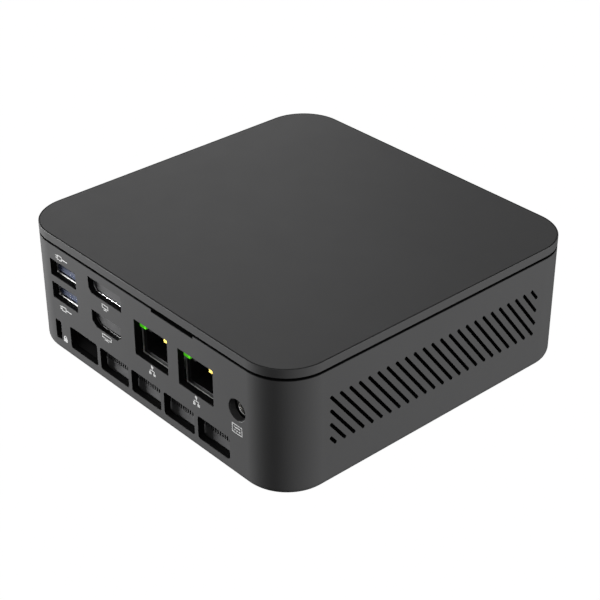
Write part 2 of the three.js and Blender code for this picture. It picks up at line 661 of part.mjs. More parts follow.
// The blower: a flat box open towards the fins, its intake underneath and its hub hanging from
// the roof.
function addFan() {
  const { x, y, r, hubR, blades, bottom, top } = FAN;
  const { x0, x1, y0, y1, wall } = FAN_BOX;
  const shell = box(x0, y0, bottom, x1, y1, top);
  const cavity = box(x0 + wall, y0 + wall, bottom + wall, x1 - wall, y1 + 1, top - wall);
  const intake = disc(x, y, 18, bottom - 1, bottom + wall + 1, 32);
  const stator = disc(x, y, 8.2, bottom + 3.4, top - wall / 2);
  add("fan_housing", cut(shell, [cavity, intake]).add(stator), blackPlastic);

  const rotorBottom = bottom + wall + 0.5;
  const rotorTop = top - wall - 0.5;
  const vanes = Array.from({ length: blades }, (_, i) => {
    const vane = new THREE.BoxGeometry(r - hubR + 0.6, 0.7, rotorTop - rotorBottom - 1);
    vane.translate((r + hubR) / 2 - 0.9, 4.2, (rotorTop + rotorBottom) / 2);
    return toSolid(vane.rotateZ((i / blades) * 2 * Math.PI).translate(x, y, 0));
  });
  const hub = disc(x, y, hubR, rotorBottom, rotorTop).subtract(
    disc(x, y, 9, bottom + 3, rotorTop + 1));
  const collar = disc(x, y, hubR + 2, rotorBottom + 0.3, rotorBottom + 1.1, 24);
  add("fan_impeller", union([hub, collar, ...vanes]).subtract(
    disc(x, y, 9, bottom + 3, rotorTop + 1)), chipBlack);
}

addCase();
addUsbStack();
addVideoStack();
addLanSockets();
addPowerJack();
addFrontUsb();
addFrontSmallSockets();
addPowerButton();
addBoard();
addMemory();
addCards();
addAerials();
addCooling();
addFan();

export default miniPc;
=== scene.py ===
import math
import random

import bmesh
import bpy
from mathutils import Matrix, Vector


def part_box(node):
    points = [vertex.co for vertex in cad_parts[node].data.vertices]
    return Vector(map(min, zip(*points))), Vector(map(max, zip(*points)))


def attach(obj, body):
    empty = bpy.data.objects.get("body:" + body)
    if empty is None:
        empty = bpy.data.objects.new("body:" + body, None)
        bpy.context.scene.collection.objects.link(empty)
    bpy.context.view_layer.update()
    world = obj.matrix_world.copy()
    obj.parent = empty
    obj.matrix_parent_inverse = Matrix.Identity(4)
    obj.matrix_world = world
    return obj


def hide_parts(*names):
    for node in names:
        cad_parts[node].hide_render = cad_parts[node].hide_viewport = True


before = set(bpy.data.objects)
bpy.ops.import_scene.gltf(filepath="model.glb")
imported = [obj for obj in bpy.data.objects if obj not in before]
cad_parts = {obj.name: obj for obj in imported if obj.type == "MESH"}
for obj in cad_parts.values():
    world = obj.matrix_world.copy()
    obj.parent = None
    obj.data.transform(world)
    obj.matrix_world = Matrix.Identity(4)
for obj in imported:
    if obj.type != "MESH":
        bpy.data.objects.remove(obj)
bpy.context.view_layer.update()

# A palm-sized desktop computer, seen from its back-left corner. Lengths are in millimetres until
# make() turns them into Blender's metres. +Y is the back with the sockets, -Y the front, +Z up.

MM = 0.001


def box_mm(node):
    """The lowest and highest corner of a CAD node, in millimetres."""
    low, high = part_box(node)
    return low / MM, high / MM


def middle_of(node):
    """The middle of a CAD node's footprint, in millimetres."""
    low, high = box_mm(node)
    return (low.x + high.x) / 2, (low.y + high.y) / 2


SHELL_LOW, SHELL_HIGH = box_mm("main_shell")
LID_HIGH = box_mm("top_cover")[1]
SIDE = SHELL_HIGH.x
BACK = SHELL_HIGH.y
FOOT = SHELL_LOW.z  # height of the case's underside above the floor
RIM_TOP = SHELL_HIGH.z
TOP = LID_HIGH.z
BOARD_TOP = box_mm("mainboard")[1].z
PART_BASE = BOARD_TOP + 0.05

CORNER_RADIUS = 15.3
WALL = 2.3
BASE_ROUND = 2.5
LID_ROUND = 0.15
LID_BOTTOM = TOP - 2.9
CORNER_X = SIDE - CORNER_RADIUS
CORNER_Y = BACK - CORNER_RADIUS
CORNER_FACETS = 28
SCREW_OUT = 4.6  # from the middle of a corner's arc out to its screw, along X and along Y
FOOT_X, FOOT_Y = 43.5, 41.5  # the middle of each rubber foot
CUT_DEPTH = WALL + 0.6  # how far a cutter reaches into a wall
HOOK_YS = -30, 30  # the lid's snap hooks and their ledges
EDGE = 0.15  # the small break on moulded and pressed edges
WELD = 0.0001  # points closer than this are one

corners = [(1, 1), (-1, 1), (-1, -1), (1, -1)]
corner_names = ["rear_right", "rear_left", "front_left", "front_right"]
screw_places = [(sx * (CORNER_X + SCREW_OUT), sy * (CORNER_Y + SCREW_OUT)) for sx, sy in corners]
foot_places = [(sx * FOOT_X, sy * FOOT_Y) for sx, sy in corners]
FAN_X, FAN_Y = middle_of("fan_impeller")

# ---- Outlines: lists of (a, b) points, anticlockwise -----------------------------------------


def arc(cx, cy, r, start, end, steps):
    """Points along an arc, angles in degrees, both ends included."""
    angles = [math.radians(start + (end - start) * i / steps) for i in range(steps + 1)]
    return [(cx + r * math.cos(a), cy + r * math.sin(a)) for a in angles]


def rounded_rect(w, h, r, steps=4, cx=0.0, cy=0.0):
    """A rectangle about (cx, cy) with corners of radius r."""
    points = []
    for quarter, (sx, sy) in enumerate(corners):
        ax = cx + sx * (w / 2 - r)
        ay = cy + sy * (h / 2 - r)
        points += arc(ax, ay, r, 90 * quarter, 90 * quarter + 90, steps)
    return points


def stadium(length, width, steps=8, cx=0.0, cy=0.0, tilt=0.0):
    """A slot with round ends, turned by tilt degrees."""
    half = (length - width) / 2
    points = arc(half, 0, width / 2, -90, 90, steps) + arc(-half, 0, width / 2, 90, 270, steps)
    c, s = math.cos(math.radians(tilt)), math.sin(math.radians(tilt))
    return [(cx + x * c - y * s, cy + x * s + y * c) for x, y in points]


def circle(r, steps=32, cx=0.0, cy=0.0):
    return arc(cx, cy, r, 0, 360, steps)[:-1]


def spaced(count, pitch, middle=0.0):
    """Places in a row, pitch apart and spread evenly about the middle."""
    return [middle + (k - (count - 1) / 2) * pitch for k in range(count)]


def offset(outline, d):
    """Moves a convex outline outwards by d."""
    moved_points = []
    n = len(outline)
    for i in range(n):
        before, here, after = (Vector(outline[(i + k) % n]) for k in (-1, 0, 1))
        first = (here - before).normalized()
        second = (after - here).normalized()
        n1 = Vector((first.y, -first.x))
        n2 = Vector((second.y, -second.x))
        middle = (n1 + n2).normalized()
        lean = max(0.3, middle.dot(n1))  # 0.3 keeps a sharp corner from running away
        moved_points.append(tuple(here + middle * d / lean))
    return moved_points


# ---- Parts: (points, faces, looks of the faces) in millimetres --------------------------------


def loft(rings, look=0, closed=False, painted_shade_bands=()):
    """Skins rings of equal length and caps the ends, or joins the last ring to the first.

    The bands between two rings that the last argument names take look 1, painted shade."""
    n = len(rings[0])
    points = [p for ring in rings for p in ring]
    faces, marks = [], []
    for k in range(len(rings) if closed else len(rings) - 1):
        a, b = k * n, (k + 1) % len(rings) * n
        faces += [(a + i, a + (i + 1) % n, b + (i + 1) % n, b + i) for i in range(n)]
        marks += [1 if k in painted_shade_bands else look] * n
    if not closed:
        faces.append(tuple(range(n - 1, -1, -1)))
        last = (len(rings) - 1) * n
        faces.append(tuple(range(last, last + n)))
        marks += [look, look]
    return points, faces, marks


def along_z(outline, z):
    return [(x, y, z) for x, y in outline]


def along_y(outline, y):
    """An outline drawn as seen from the back, where a grows towards -X."""
    return [(-a, y, b) for a, b in outline]


def along_x(outline, x):
    """An outline drawn in (y, z)."""
    return [(x, a, b) for a, b in outline]


def quarter_round(r, steps):
    """(inset, rise) pairs from the end of a rounded edge up to the wall."""
    turns = [math.pi / 2 * i / steps for i in range(steps + 1)]
    return [(r * (1 - math.sin(a)), r * (1 - math.cos(a))) for a in turns]


def prism(outline, at, start, end, edge=EDGE, steps=2):
    """An extruded outline with rounded rims. at places a ring: along_x, along_y or along_z."""
    rim = quarter_round(edge, steps)
    levels = [(i, start + rise) for i, rise in rim] + [(i, end - rise) for i, rise in reversed(rim)]
    return loft([at(offset(outline, -i), level) for i, level in levels])


def block(corner, opposite, edge=EDGE, look=0, steps=2):
    """A box between two opposite corners, with every edge rounded over."""
    low, high = zip(*(sorted(pair) for pair in zip(corner, opposite)))
    size = [b - a for a, b in zip(low, high)]
    r = min(edge, 0.45 * min(size))
    cx, cy = (low[0] + high[0]) / 2, (low[1] + high[1]) / 2

    def ring(inset, z):
        tight = max(r - inset, 0.02 * r)
        return along_z(rounded_rect(size[0] - 2 * inset, size[1] - 2 * inset, tight, steps, cx, cy), z)

    rim = quarter_round(r, steps)
    rings = [ring(i, low[2] + rise) for i, rise in rim]
    rings += [ring(i, high[2] - rise) for i, rise in reversed(rim)]
    return loft(rings, look)


def teeth(xs, half, corner, opposite, edge, look=1, steps=1):
    """Equal small blocks, one about each x; the corners are given in (y, z)."""
    return [block((x - half, *corner), (x + half, *opposite), edge, look, steps) for x in xs]


def cup(outline, at, mouth, back, sheet):
    """A thin-walled can with a rolled lip at its mouth: the outline is its outside."""
    way = math.copysign(1, mouth - back)
    r = sheet / 2
    turns = [math.pi * i / 6 for i in range(7)]
    levels = [(0, back)] + [(r - r * math.cos(a), mouth - way * r * (1 - math.sin(a))) for a in turns]
    levels.append((sheet, back + way * sheet))
    return loft([at(offset(outline, -i), level) for i, level in levels])


def turned(profile, centre=(0, 0), steps=40, axis="z", base=0.0, closed=False):
    """A turned solid from (radius, height) pairs; base is where the heights start.

    The profile begins and ends on the axis, or is closed and goes round the axis as a ring."""
    at = along_z if axis == "z" else along_y
    return loft([at(circle(max(r, 0.01), steps, *centre), base + h) for r, h in profile], closed=closed)


def tube(path, r, steps=10):
    """A round wire along a list of points."""
    rings = []
    points = [Vector(p) for p in path]
    for i, p in enumerate(points):
        ahead = points[min(i + 1, len(points) - 1)] - points[max(i - 1, 0)]
        turn = ahead.to_track_quat("Z", "Y").to_matrix()
        rings.append([tuple(p + turn @ Vector((x, y, 0))) for x, y in circle(r, steps)])
    return loft(rings)


def moved(part, x=0.0, y=0.0, z=0.0, turn=0.0):
    """A part turned about the vertical by turn degrees, then shifted."""
    matrix = Matrix.Translation((x, y, z)) @ Matrix.Rotation(math.radians(turn), 4, "Z")
    return [tuple(matrix @ Vector(p)) for p in part[0]], part[1], part[2]


# ---- Meshes ----------------------------------------------------------------------------------


def to_mesh(name, parts, looks):
    """One mesh of all the parts, in metres, with its seams welded and its normals outwards."""
    points, faces, marks = [], [], []
    for part_points, part_faces, part_marks in parts:
        base = len(points)
        points += [tuple(c * MM for c in p) for p in part_points]
        faces += [tuple(base + i for i in face) for face in part_faces]
        marks += part_marks
    mesh = bpy.data.meshes.new(name)
    mesh.from_pydata(points, [], faces)
    for look in looks:
        mesh.materials.append(look)
    mesh.polygons.foreach_set("material_index", marks)
    tidy = bmesh.new()
    tidy.from_mesh(mesh)
    bmesh.ops.remove_doubles(tidy, verts=tidy.verts, dist=WELD * MM)
    bmesh.ops.recalc_face_normals(tidy, faces=tidy.faces)
    tidy.to_mesh(mesh)
    tidy.free()
    return mesh


def add_object(name, data):
    """A new object in the scene."""
    holder = bpy.data.objects.new(name, data)
    bpy.context.scene.collection.objects.link(holder)
    return holder


def combine(mesh, parts, operation):
    """Cuts parts out of a mesh, or joins them to it, and gives the new mesh."""
    base = add_object("base", mesh)
    tool = add_object("tool", to_mesh("tool", parts, list(mesh.materials)))
    step = base.modifiers.new("step", "BOOLEAN")
    step.operation = operation
    step.solver = "EXACT"
    step.use_self = True
    step.object = tool
    result = bpy.data.meshes.new_from_object(base.evaluated_get(bpy.context.evaluated_depsgraph_get()))
    bpy.data.objects.remove(base)
    bpy.data.objects.remove(tool)
    return result


def smooth(mesh, sharp):
    """Shades a mesh smooth, but keeps the edges that turn by more than sharp degrees."""
    mesh.shade_smooth()
    mesh.set_sharp_from_angle(angle=math.radians(sharp))


def make(name, parts, looks, body="case", replaces=(), cuts=(), joins=(), place=None):
    """Builds one piece, riding on a CAD body; place shifts and turns all that it is made from."""
    if place:
        parts, joins, cuts = ([moved(p, **place) for p in group] for group in (parts, joins, cuts))
    mesh = to_mesh(name, parts, looks)
    if joins:
        mesh = combine(mesh, joins, "UNION")
    if cuts:
        mesh = combine(mesh, cuts, "DIFFERENCE")
    mesh.name = name
    smooth(mesh, 40)
    piece = add_object(name, mesh)
    weigh = piece.modifiers.new("flat_faces_stay_flat", "WEIGHTED_NORMAL")
    weigh.keep_sharp = True
    weigh.weight = 100
    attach(piece, body)
    if replaces:
        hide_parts(*replaces)
    return piece


def pocket(outline, at, face, inner, flare=EDGE, look=1):
    """A cutter with a slightly flared mouth. face is the outer surface, inner where it ends."""
    way = math.copysign(1, face - inner)
    levels = [(flare * 2, face + way * flare), (0, face - way * flare), (0, inner)]
    return loft([at(offset(outline, grow), level) for grow, level in levels], look)


def through_wall(outline, at, face, flare, look=1):
    """A cutter for an opening in the wall whose outer surface is at face; its look 1 paints the opening's
    walls near black as shade.
    """
    return pocket(outline, at, face, face - math.copysign(CUT_DEPTH, face), flare, look)


# ---- Materials -------------------------------------------------------------------------------

NOISE_SPAN = 0.3, 0.7  # nearly all of a noise texture's values lie between these


def tune(node, values):
    """Sets inputs of a shader node by name."""
    for name, value in values.items():
        node.inputs[name].default_value = value


def ramp(tree, source, start, end, low, high):
    """Maps the stretch of a value from start to end onto low to high."""
    span = tree.nodes.new("ShaderNodeMapRange")
    tune(span, {"From Min": start, "From Max": end, "To Min": low, "To Max": high})
    tree.links.new(source, span.inputs["Value"])
    return span.outputs["Result"]


def color_mix(tree, factor, color):
    """A mix node that goes towards a colour as the factor grows; the caller sets its input A."""
    mix = tree.nodes.new("ShaderNodeMix")
    mix.data_type = "RGBA"
    mix.inputs["B"].default_value = [min(1, c) for c in color] + [1]
    tree.links.new(factor, mix.inputs["Factor"])
    return mix


def material(name, color, roughness, metallic=0.0, coat=0.0, grain=0.0, grain_size=0.3,
             tone=0.05, patch_size=14.0, rough_spread=0.06, edge_strength=0.0, edge_tone=2.6,
             stretch=(1, 1, 1), specular=0.5):
    """A surface with fine relief, slow changes of tone and roughness, and a tinted line along the edges.

    grain is the relief in mm; sizes are in mm; tone, rough_spread and the edge line's strength are
    fractions. The edge tone is a multiple of the colour: above 1 a lighter, rubbed edge; below 1, as on
    the case, painted shade along the rounded edges."""
    look = bpy.data.materials.new(name)
    look.use_nodes = True
    tree = look.node_tree
    shader = tree.nodes["Principled BSDF"]
    tune(shader, {"Metallic": metallic, "Coat Weight": coat, "Specular IOR Level": specular})
    place = tree.nodes.new("ShaderNodeTexCoord")
    scale = tree.nodes.new("ShaderNodeMapping")
    tune(scale, {"Scale": stretch})
    tree.links.new(place.outputs["Object"], scale.inputs["Vector"])

    def noise(size, detail):
        texture = tree.nodes.new("ShaderNodeTexNoise")
        tune(texture, {"Scale": 1 / (size * MM), "Detail": detail})
        tree.links.new(scale.outputs["Vector"], texture.inputs["Vector"])
        return texture.outputs["Fac"]

    patches = ramp(tree, noise(patch_size, 3), *NOISE_SPAN, 0, 1)
    tint = color_mix(tree, patches, [c * (1 + tone) for c in color])
    tint.inputs["A"].default_value = [c * (1 - tone) for c in color] + [1]
    surface = tint.outputs["Result"]
    if edge_strength:
        surface = edge_wear_and_shade(tree, surface, [c * edge_tone for c in color], edge_strength)
    tree.links.new(surface, shader.inputs["Base Color"])
    dull, shiny = roughness + rough_spread, roughness - rough_spread
    rough = ramp(tree, noise(patch_size * 0.3, 4), *NOISE_SPAN, shiny, dull)
    tree.links.new(rough, shader.inputs["Roughness"])
    if grain:
        bump = tree.nodes.new("ShaderNodeBump")
        tune(bump, {"Strength": 1, "Distance": grain * MM})
        tree.links.new(noise(grain_size, 2), bump.inputs["Height"])
        tree.links.new(bump.outputs["Normal"], shader.inputs["Normal"])
    return look


def edge_wear_and_shade(tree, surface, color, edge_strength):
    """Tints a thin line along the edges, found where a rounded normal leaves the true one; lighter it is
    rubbed wear, darker it is painted shade.
    """
    soft = tree.nodes.new("ShaderNodeBevel")
    soft.samples = 4
    tune(soft, {"Radius": 0.35 * MM})
    true = tree.nodes.new("ShaderNodeNewGeometry")
    gap = tree.nodes.new("ShaderNodeVectorMath")
    gap.operation = "DISTANCE"
    tree.links.new(soft.outputs["Normal"], gap.inputs[0])
    tree.links.new(true.outputs["Normal"], gap.inputs[1])
    mix = color_mix(tree, ramp(tree, gap.outputs["Value"], 0.15, 0.7, 0, edge_strength), color)
    tree.links.new(surface, mix.inputs["A"])
    return mix.outputs["Result"]


def glowing(name, color, strength):
    """A lit light pipe: tinted, glossy, and bright from inside."""
    look = material(name, color, 0.25, grain=0.004, tone=0.08, patch_size=2)
    shader = look.node_tree.nodes["Principled BSDF"]
    tune(shader, {"Emission Color": (*color, 1), "Emission Strength": strength})
    return look


def laminate(name, mask, copper):
    """Circuit-board solder mask with faint traces under it, drawn as the edges of fine cells."""
    look = material(name, mask, 0.35, coat=0.3, grain=0.006, grain_size=0.5, tone=0.12, patch_size=6)
    tree = look.node_tree
    base = tree.nodes["Principled BSDF"].inputs["Base Color"]
    place = tree.nodes.new("ShaderNodeTexCoord")
    cells = tree.nodes.new("ShaderNodeTexVoronoi")
    cells.distance = "CHEBYCHEV"
    cells.feature = "DISTANCE_TO_EDGE"
    tune(cells, {"Scale": 1 / (2.4 * MM)})
    tree.links.new(place.outputs["Object"], cells.inputs["Vector"])
    mix = color_mix(tree, ramp(tree, cells.outputs["Distance"], 0.06, 0.03, 0, 0.55), copper)
    tree.links.new(base.links[0].from_socket, mix.inputs["A"])
    tree.links.new(mix.outputs["Result"], base)
    return look


CASE_GREY = (0.042, 0.042, 0.0425)

# The case's edge line is darker than its plastic: painted shade along the rounded edges of the case and lid.
case_look = material("case_plastic", CASE_GREY, 0.46, grain=0.012, grain_size=0.22, tone=0.015,
                     patch_size=30, rough_spread=0.015, edge_strength=0.6, edge_tone=0.75, specular=0.07)
# Near black for the walls of the case's openings and for the rim under the lid: painted shade.
painted_shade_look = material("case_painted_shade", (0.005, 0.005, 0.0052), 0.6, grain=0.01, tone=0.1, specular=0.05)
button_look = material("button_plastic", (0.05, 0.05, 0.052), 0.34, grain=0.006, edge_strength=0.3)
plate_look = material("powder_coat", (0.03, 0.03, 0.031), 0.6, grain=0.03, grain_size=0.45, edge_strength=0.2)
rubber_look = material("rubber", (0.012, 0.012, 0.013), 0.8, grain=0.02, grain_size=0.6, tone=0.15)
steel_look = material("zinc_steel", (0.42, 0.42, 0.43), 0.35, metallic=1, grain=0.002,
                      grain_size=0.12, tone=0.08, patch_size=3)
nickel_look = material("nickel_plate", (0.86, 0.855, 0.84), 0.31, metallic=1, grain=0.0015,
                       grain_size=0.25, tone=0.05, patch_size=4, stretch=(1, 0.15, 1))
can_look = material("pressed_can", (0.8, 0.8, 0.79), 0.42, metallic=1, grain=0.002, grain_size=0.25,
                    tone=0.08, patch_size=4, stretch=(1, 0.15, 1))
dull_look = material("dull_plate", (0.03, 0.03, 0.03), 0.5, metallic=0.3, grain=0.004,
                     grain_size=0.25, tone=0.08, patch_size=4)
blue_look = material("blue_plastic", (0.022, 0.03, 0.06), 0.4, grain=0.006, tone=0.08, patch_size=5)
black_look = material("black_plastic", (0.006, 0.006, 0.0065), 0.45, grain=0.01, tone=0.12, specular=0.2)
foam_look = material("black_foam", (0.004, 0.004, 0.004), 0.9, grain=0.15, grain_size=0.5, tone=0.3,
                     patch_size=2, specular=0.05)
gold_look = material("gold_contacts", (0.85, 0.58, 0.22), 0.25, metallic=1, grain=0.003, tone=0.05)
green_light_look = glowing("green_light", (0.10, 0.75, 0.02), 0.35)
yellow_light_look = glowing("yellow_light", (0.95, 0.68, 0.14), 0.35)
clear_light_look = glowing("clear_light", (0.75, 0.82, 0.90), 0.5)
board_look = laminate("board", (0.012, 0.05, 0.028), (0.03, 0.11, 0.05))
chip_look = material("chip_epoxy", (0.013, 0.013, 0.014), 0.5, grain=0.008, tone=0.12, patch_size=4)
card_look = laminate("card", (0.010, 0.012, 0.016), (0.02, 0.03, 0.035))
copper_look = material("copper", (0.72, 0.34, 0.2), 0.3, metallic=1, grain=0.006, tone=0.12,
                       patch_size=5, rough_spread=0.1)
fin_look = material("anodised_fins", (0.045, 0.045, 0.046), 0.5, metallic=0.2, grain=0.006,
                    tone=0.06, patch_size=6, stretch=(1, 0.2, 1), specular=0.2)
insert_look = material("grey_insert", (0.028, 0.028, 0.029), 0.5, grain=0.01, tone=0.1,
                       patch_size=3, specular=0.3)
print_look = material("pale_print", (0.27, 0.27, 0.27), 0.55, grain=0.008, tone=0.06, patch_size=2)
label_look = material("paper_label", (0.66, 0.66, 0.64), 0.6, grain=0.01, tone=0.03, patch_size=5)
ceramic_look = material("ceramic", (0.36, 0.25, 0.16), 0.4, grain=0.004, tone=0.1, patch_size=1)
ferrite_look = material("ferrite", (0.06, 0.06, 0.063), 0.6, grain=0.02, tone=0.1, patch_size=2)
solder_look = material("solder", (0.62, 0.62, 0.63), 0.3, metallic=1, grain=0.01, tone=0.1, patch_size=1)

# ---- Back panel places, as seen from the back: a grows towards -X, b is the height ------------


def seen_from_back(node):
    """(a, b) of the middle of a CAD node's mouth, and its width and height."""
    low, high = box_mm(node)
    return -(low.x + high.x) / 2, (low.z + high.z) / 2, high.x - low.x, high.z - low.z


HDMI_A, HDMI_B = seen_from_back("hdmi_shell")[:2]
DP_A, DP_B = seen_from_back("displayport_shell")[:2]
USB_A = seen_from_back("usb_stack_shell")[0]
USB_TONGUE_DROP = 1.15  # from the middle of a rear mouth down to the middle of its tongue
USB_BS = [seen_from_back(f"usb_{level}_tongue")[1] + USB_TONGUE_DROP for level in ("lower", "upper")]
JACK_A, JACK_B = seen_from_back("dc_jack_pin")[:2]
LAN_AS = [seen_from_back(f"lan_{i}_shell")[0] for i in (1, 2)]
LAN_FACE, LAN_TOP = box_mm("lan_1_shell")[1].yz
LAN_B = LAN_TOP - 6.6
LAN_HALF = 8.0  # half of a network can's width
LAN_DEPTH = 21.0
SOCKET_FACE = box_mm("hdmi_shell")[1].y
LOCK_A, LOCK_B = -46.9, FOOT + 8.35

USB_HOLE = 13.7, 5.9  # the opening in the wall for a USB-A socket
USB_MOUTH_W, USB_MOUTH_H = 12.5, 5.12
USB_NOSE = 0.8  # how far each rear mouth reaches into its window
lan_lights = [("green", green_light_look, -6.45), ("yellow", yellow_light_look, 5.4)]
VENT_PITCH, VENT_W, VENT_H = 16.53, 14.7, 8.1
VENT_B = FOOT + 8.55
VENT_AS = spaced(5, VENT_PITCH, 0.3)
NOTCH_A, NOTCH_W, NOTCH_H = 15.2, 19.7, 0.9

# ---- Front panel places, in the same (a, b) ---------------------------------------------------

FRONT_B = seen_from_back("power_button")[1]
AUDIO_A, USB_C_A, BUTTON_A, LIGHT_A = (
    seen_from_back(node)[0] for node in ("audio_jack", "usb_c_shell", "power_button", "power_light"))
FRONT_USB_AS = [seen_from_back(f"front_usb_{side}_shell")[0] for side in ("left", "right")]


def hdmi_outline(w, h):
    """Both lower corners cut off."""
    return [(-w / 2 + 2.1, -h / 2), (w / 2 - 2.1, -h / 2), (w / 2, -h / 2 + 1.7),
            (w / 2, h / 2), (-w / 2, h / 2), (-w / 2, -h / 2 + 1.7)]


def displayport_outline(w, h):
    """One lower corner cut off."""
    return [(-w / 2 + 1.4, -h / 2), (w / 2, -h / 2), (w / 2, h / 2),
            (-w / 2, h / 2), (-w / 2, -h / 2 + 1.6)]


def shifted(outline, a, b):
    return [(x + a, y + b) for x, y in outline]


# ---- Case ------------------------------------------------------------------------------------


def case_ring(inset, z):
    """The case's outline at one height, inset from its outer wall."""
    r = CORNER_RADIUS - inset
    points = []
    for quarter, (sx, sy) in enumerate(corners):
        points += arc(sx * CORNER_X, sy * CORNER_Y, r, 90 * quarter, 90 * quarter + 90, CORNER_FACETS)
    return along_z(points, z)


def back_cutters():
    """The openings of the back wall: sockets, air windows, lock slot and the notch under the lid."""
    holes = [shifted(displayport_outline(16.9, 5.5), DP_A, DP_B)]
    holes.append(shifted(hdmi_outline(15.1, 5.6), HDMI_A, HDMI_B))
    holes += [rounded_rect(*USB_HOLE, 0.25, 3, USB_A, b) for b in USB_BS]
    holes += [rounded_rect(16.2, 12.6, 0.3, 3, a, LAN_B) for a in LAN_AS]
    holes += [rounded_rect(VENT_W, VENT_H, 0.85, 6, a, VENT_B) for a in VENT_AS]
    holes.append(rounded_rect(3, 7.1, 0.4, 4, LOCK_A, LOCK_B))
    cutters = [through_wall(hole, along_y, BACK, 0.1) for hole in holes]
    cutters.append(through_wall(circle(3.65, 48, JACK_A, JACK_B), along_y, BACK, 0.1, look=0))
    notch = rounded_rect(NOTCH_W, 2 * NOTCH_H, 0.3, 3, NOTCH_A, RIM_TOP)
    cutters.append(through_wall(notch, along_y, BACK, 0.1))
    return cutters


def slot_outlines():
    """One side's slanted air slots in (y, z), clipped to a window; each falls towards the front."""
    angle, pitch, width = 52, 3.72, 1.0
    y0, y1, z0, z1 = -44.2, 43.8, FOOT + 14, FOOT + 30.5  # the window
    lean = 1 / math.tan(math.radians(angle))
    reach = (z1 - z0) * lean
    top = y1 + math.floor(reach / pitch) * pitch
    slots = []
    while top > y0:
        start = min(top, y1)
        end = max(top - reach, y0)
        start_z, end_z = (z1 - (top - y) / lean for y in (start, end))
        length = math.hypot(start - end, start_z - end_z)
        if length >= width:
            middle = (start + end) / 2, (start_z + end_z) / 2
            slots.append(stadium(length + width, width, 6, *middle, tilt=angle))
        top -= pitch
    return slots


def side_cutters():
    """The air slots of both side walls."""
    slots = slot_outlines()
    return [through_wall(slot, along_x, side * SIDE, 0.06) for slot in slots for side in (-1, 1)]


def front_cutters():
    """The openings of the front wall."""
    holes = [circle(3.3, 40, AUDIO_A, FRONT_B), circle(4.95, 56, BUTTON_A, FRONT_B),
             circle(1.1, 24, LIGHT_A, FRONT_B), stadium(10, 4.2, 12, USB_C_A, FRONT_B)]
    holes += [rounded_rect(*USB_HOLE, 0.3, 3, a, FRONT_B) for a in FRONT_USB_AS]
    return [through_wall(hole, along_y, -BACK, 0.12) for hole in holes]


def main_shell():
    """One wall section carried round the case: fillet, wall, stepped rim, floor lip."""
    rim = 0.15
    fillet = quarter_round(BASE_ROUND, 9)
    top = [(0, -rim), (rim * 0.4, -rim * 0.4), (rim, 0), (WALL - 0.8, 0), (WALL - 0.75, -0.05),
           (WALL - 0.75, -1.4), (WALL, -1.45)]
    lip = [(WALL, 4.4), (WALL + 0.8, 3.6), (6.9, 3.6), (7.0, 3.5), (7.0, 1.9), (3.7, 1.9),
           (3.7, 0.15), (3.55, 0)]
    section = [(inset, FOOT + rise) for inset, rise in fillet]
    section += [(inset, RIM_TOP + rise) for inset, rise in top]
    section += [(inset, FOOT + rise) for inset, rise in lip]
    seam = range(len(fillet), len(fillet) + 6)  # the rim, painted dark as shade where the lid covers it
    wall = loft([case_ring(inset, z) for inset, z in section], closed=True, painted_shade_bands=seam)
    # Look 1 paints the rim under the lid and the walls of every opening near black: painted shade.
    make("case_shell", [wall], [case_look, painted_shade_look], replaces=["main_shell"],
         joins=posts_and_seats(), cuts=back_cutters() + side_cutters() + front_cutters())


def posts_and_seats():
    """Screw posts with ribs in the corners, and the ledges that the lid's hooks catch."""
    seat = box_mm("mainboard")[0].z
    profile = [(0, FOOT + 2.0), (3.5, FOOT + 2.0), (3.6, FOOT + 2.2), (3.45, seat - 0.5), (3.2, seat - 0.2)]
    profile += [(1.35, seat - 0.2), (1.25, seat - 0.5), (1.25, seat - 5), (0, seat - 5)]
    rib = block((2.6, -0.9, FOOT + 3.0), (7.6, 0.9, seat - 1.5), 0.2)
    parts = []
    for quarter, (x, y) in enumerate(screw_places):
        parts.append(turned(profile, (x, y), 28))
        parts.append(moved(rib, x, y, 0, 45 + 90 * quarter))
    for x in (WALL + 0.5 - SIDE, SIDE - WALL - 0.5):
        parts += [block((x - 0.9, y - 6, FOOT + 36.5), (x + 0.9, y + 6, FOOT + 38), 0.3) for y in HOOK_YS]
    return parts


def dust_screens():
    """A sheet of black foam behind each side's air slots."""
    outer = SIDE - WALL - 0.25
    for side, name in ((1, "right"), (-1, "left")):
        sheet = block((side * outer, -46, FOOT + 12.5), (side * (outer - 0.8), 46, FOOT + 32), 0.25)
        make(f"dust_screen_{name}", [sheet], [foam_look])


def top_cover():
    """A cap with a fine line let in round its top; under it a skirt, ribs and snap hooks."""
    edge = [(i, TOP - rise) for i, rise in quarter_round(LID_ROUND, 4)]
    line = [(0.4, 0), (0.34, 0.3), (0.08, 0.3), (0.04, 0.02)]
    outer = [(LID_ROUND + 6, TOP)] + [(LID_ROUND + i, TOP - depth) for i, depth in line] + edge
    section = outer + [(0, LID_BOTTOM + 0.1), (0.1, LID_BOTTOM), (2.5, LID_BOTTOM)]
    section += [(2.7, LID_BOTTOM - 0.2), (2.7, LID_BOTTOM - 2.4), (2.9, LID_BOTTOM - 2.6)]
    section += [(4.0, LID_BOTTOM - 2.6), (4.2, LID_BOTTOM - 2.4), (4.2, TOP - 1.7)]
    section += [(4.5, TOP - 1.6), (9, TOP - 1.6)]
    seam = range(len(outer) + 1, len(outer) + 6)  # the lid's underside next to the rim, painted dark as shade
    cap = loft([case_ring(inset, z) for inset, z in section], painted_shade_bands=seam)
    under = TOP - 1.4
    parts = []
    for middle in spaced(9, 12):
        parts.append(block((middle - 0.5, -54, under - 1.6), (middle + 0.5, 54, under)))
        parts.append(block((-56, middle - 0.5, under - 1.6), (56, middle + 0.5, under)))
    for side in (-1, 1):
        for y in HOOK_YS:
            x = side * (SIDE - 4.0)
            parts.append(block((x, y - 3.5, FOOT + 38.35), (x + side * 0.9, y + 3.5, TOP - 1.5), 0.2))
    make("lid", [cap], [case_look, painted_shade_look], body="lid", replaces=["top_cover"],
         joins=parts)


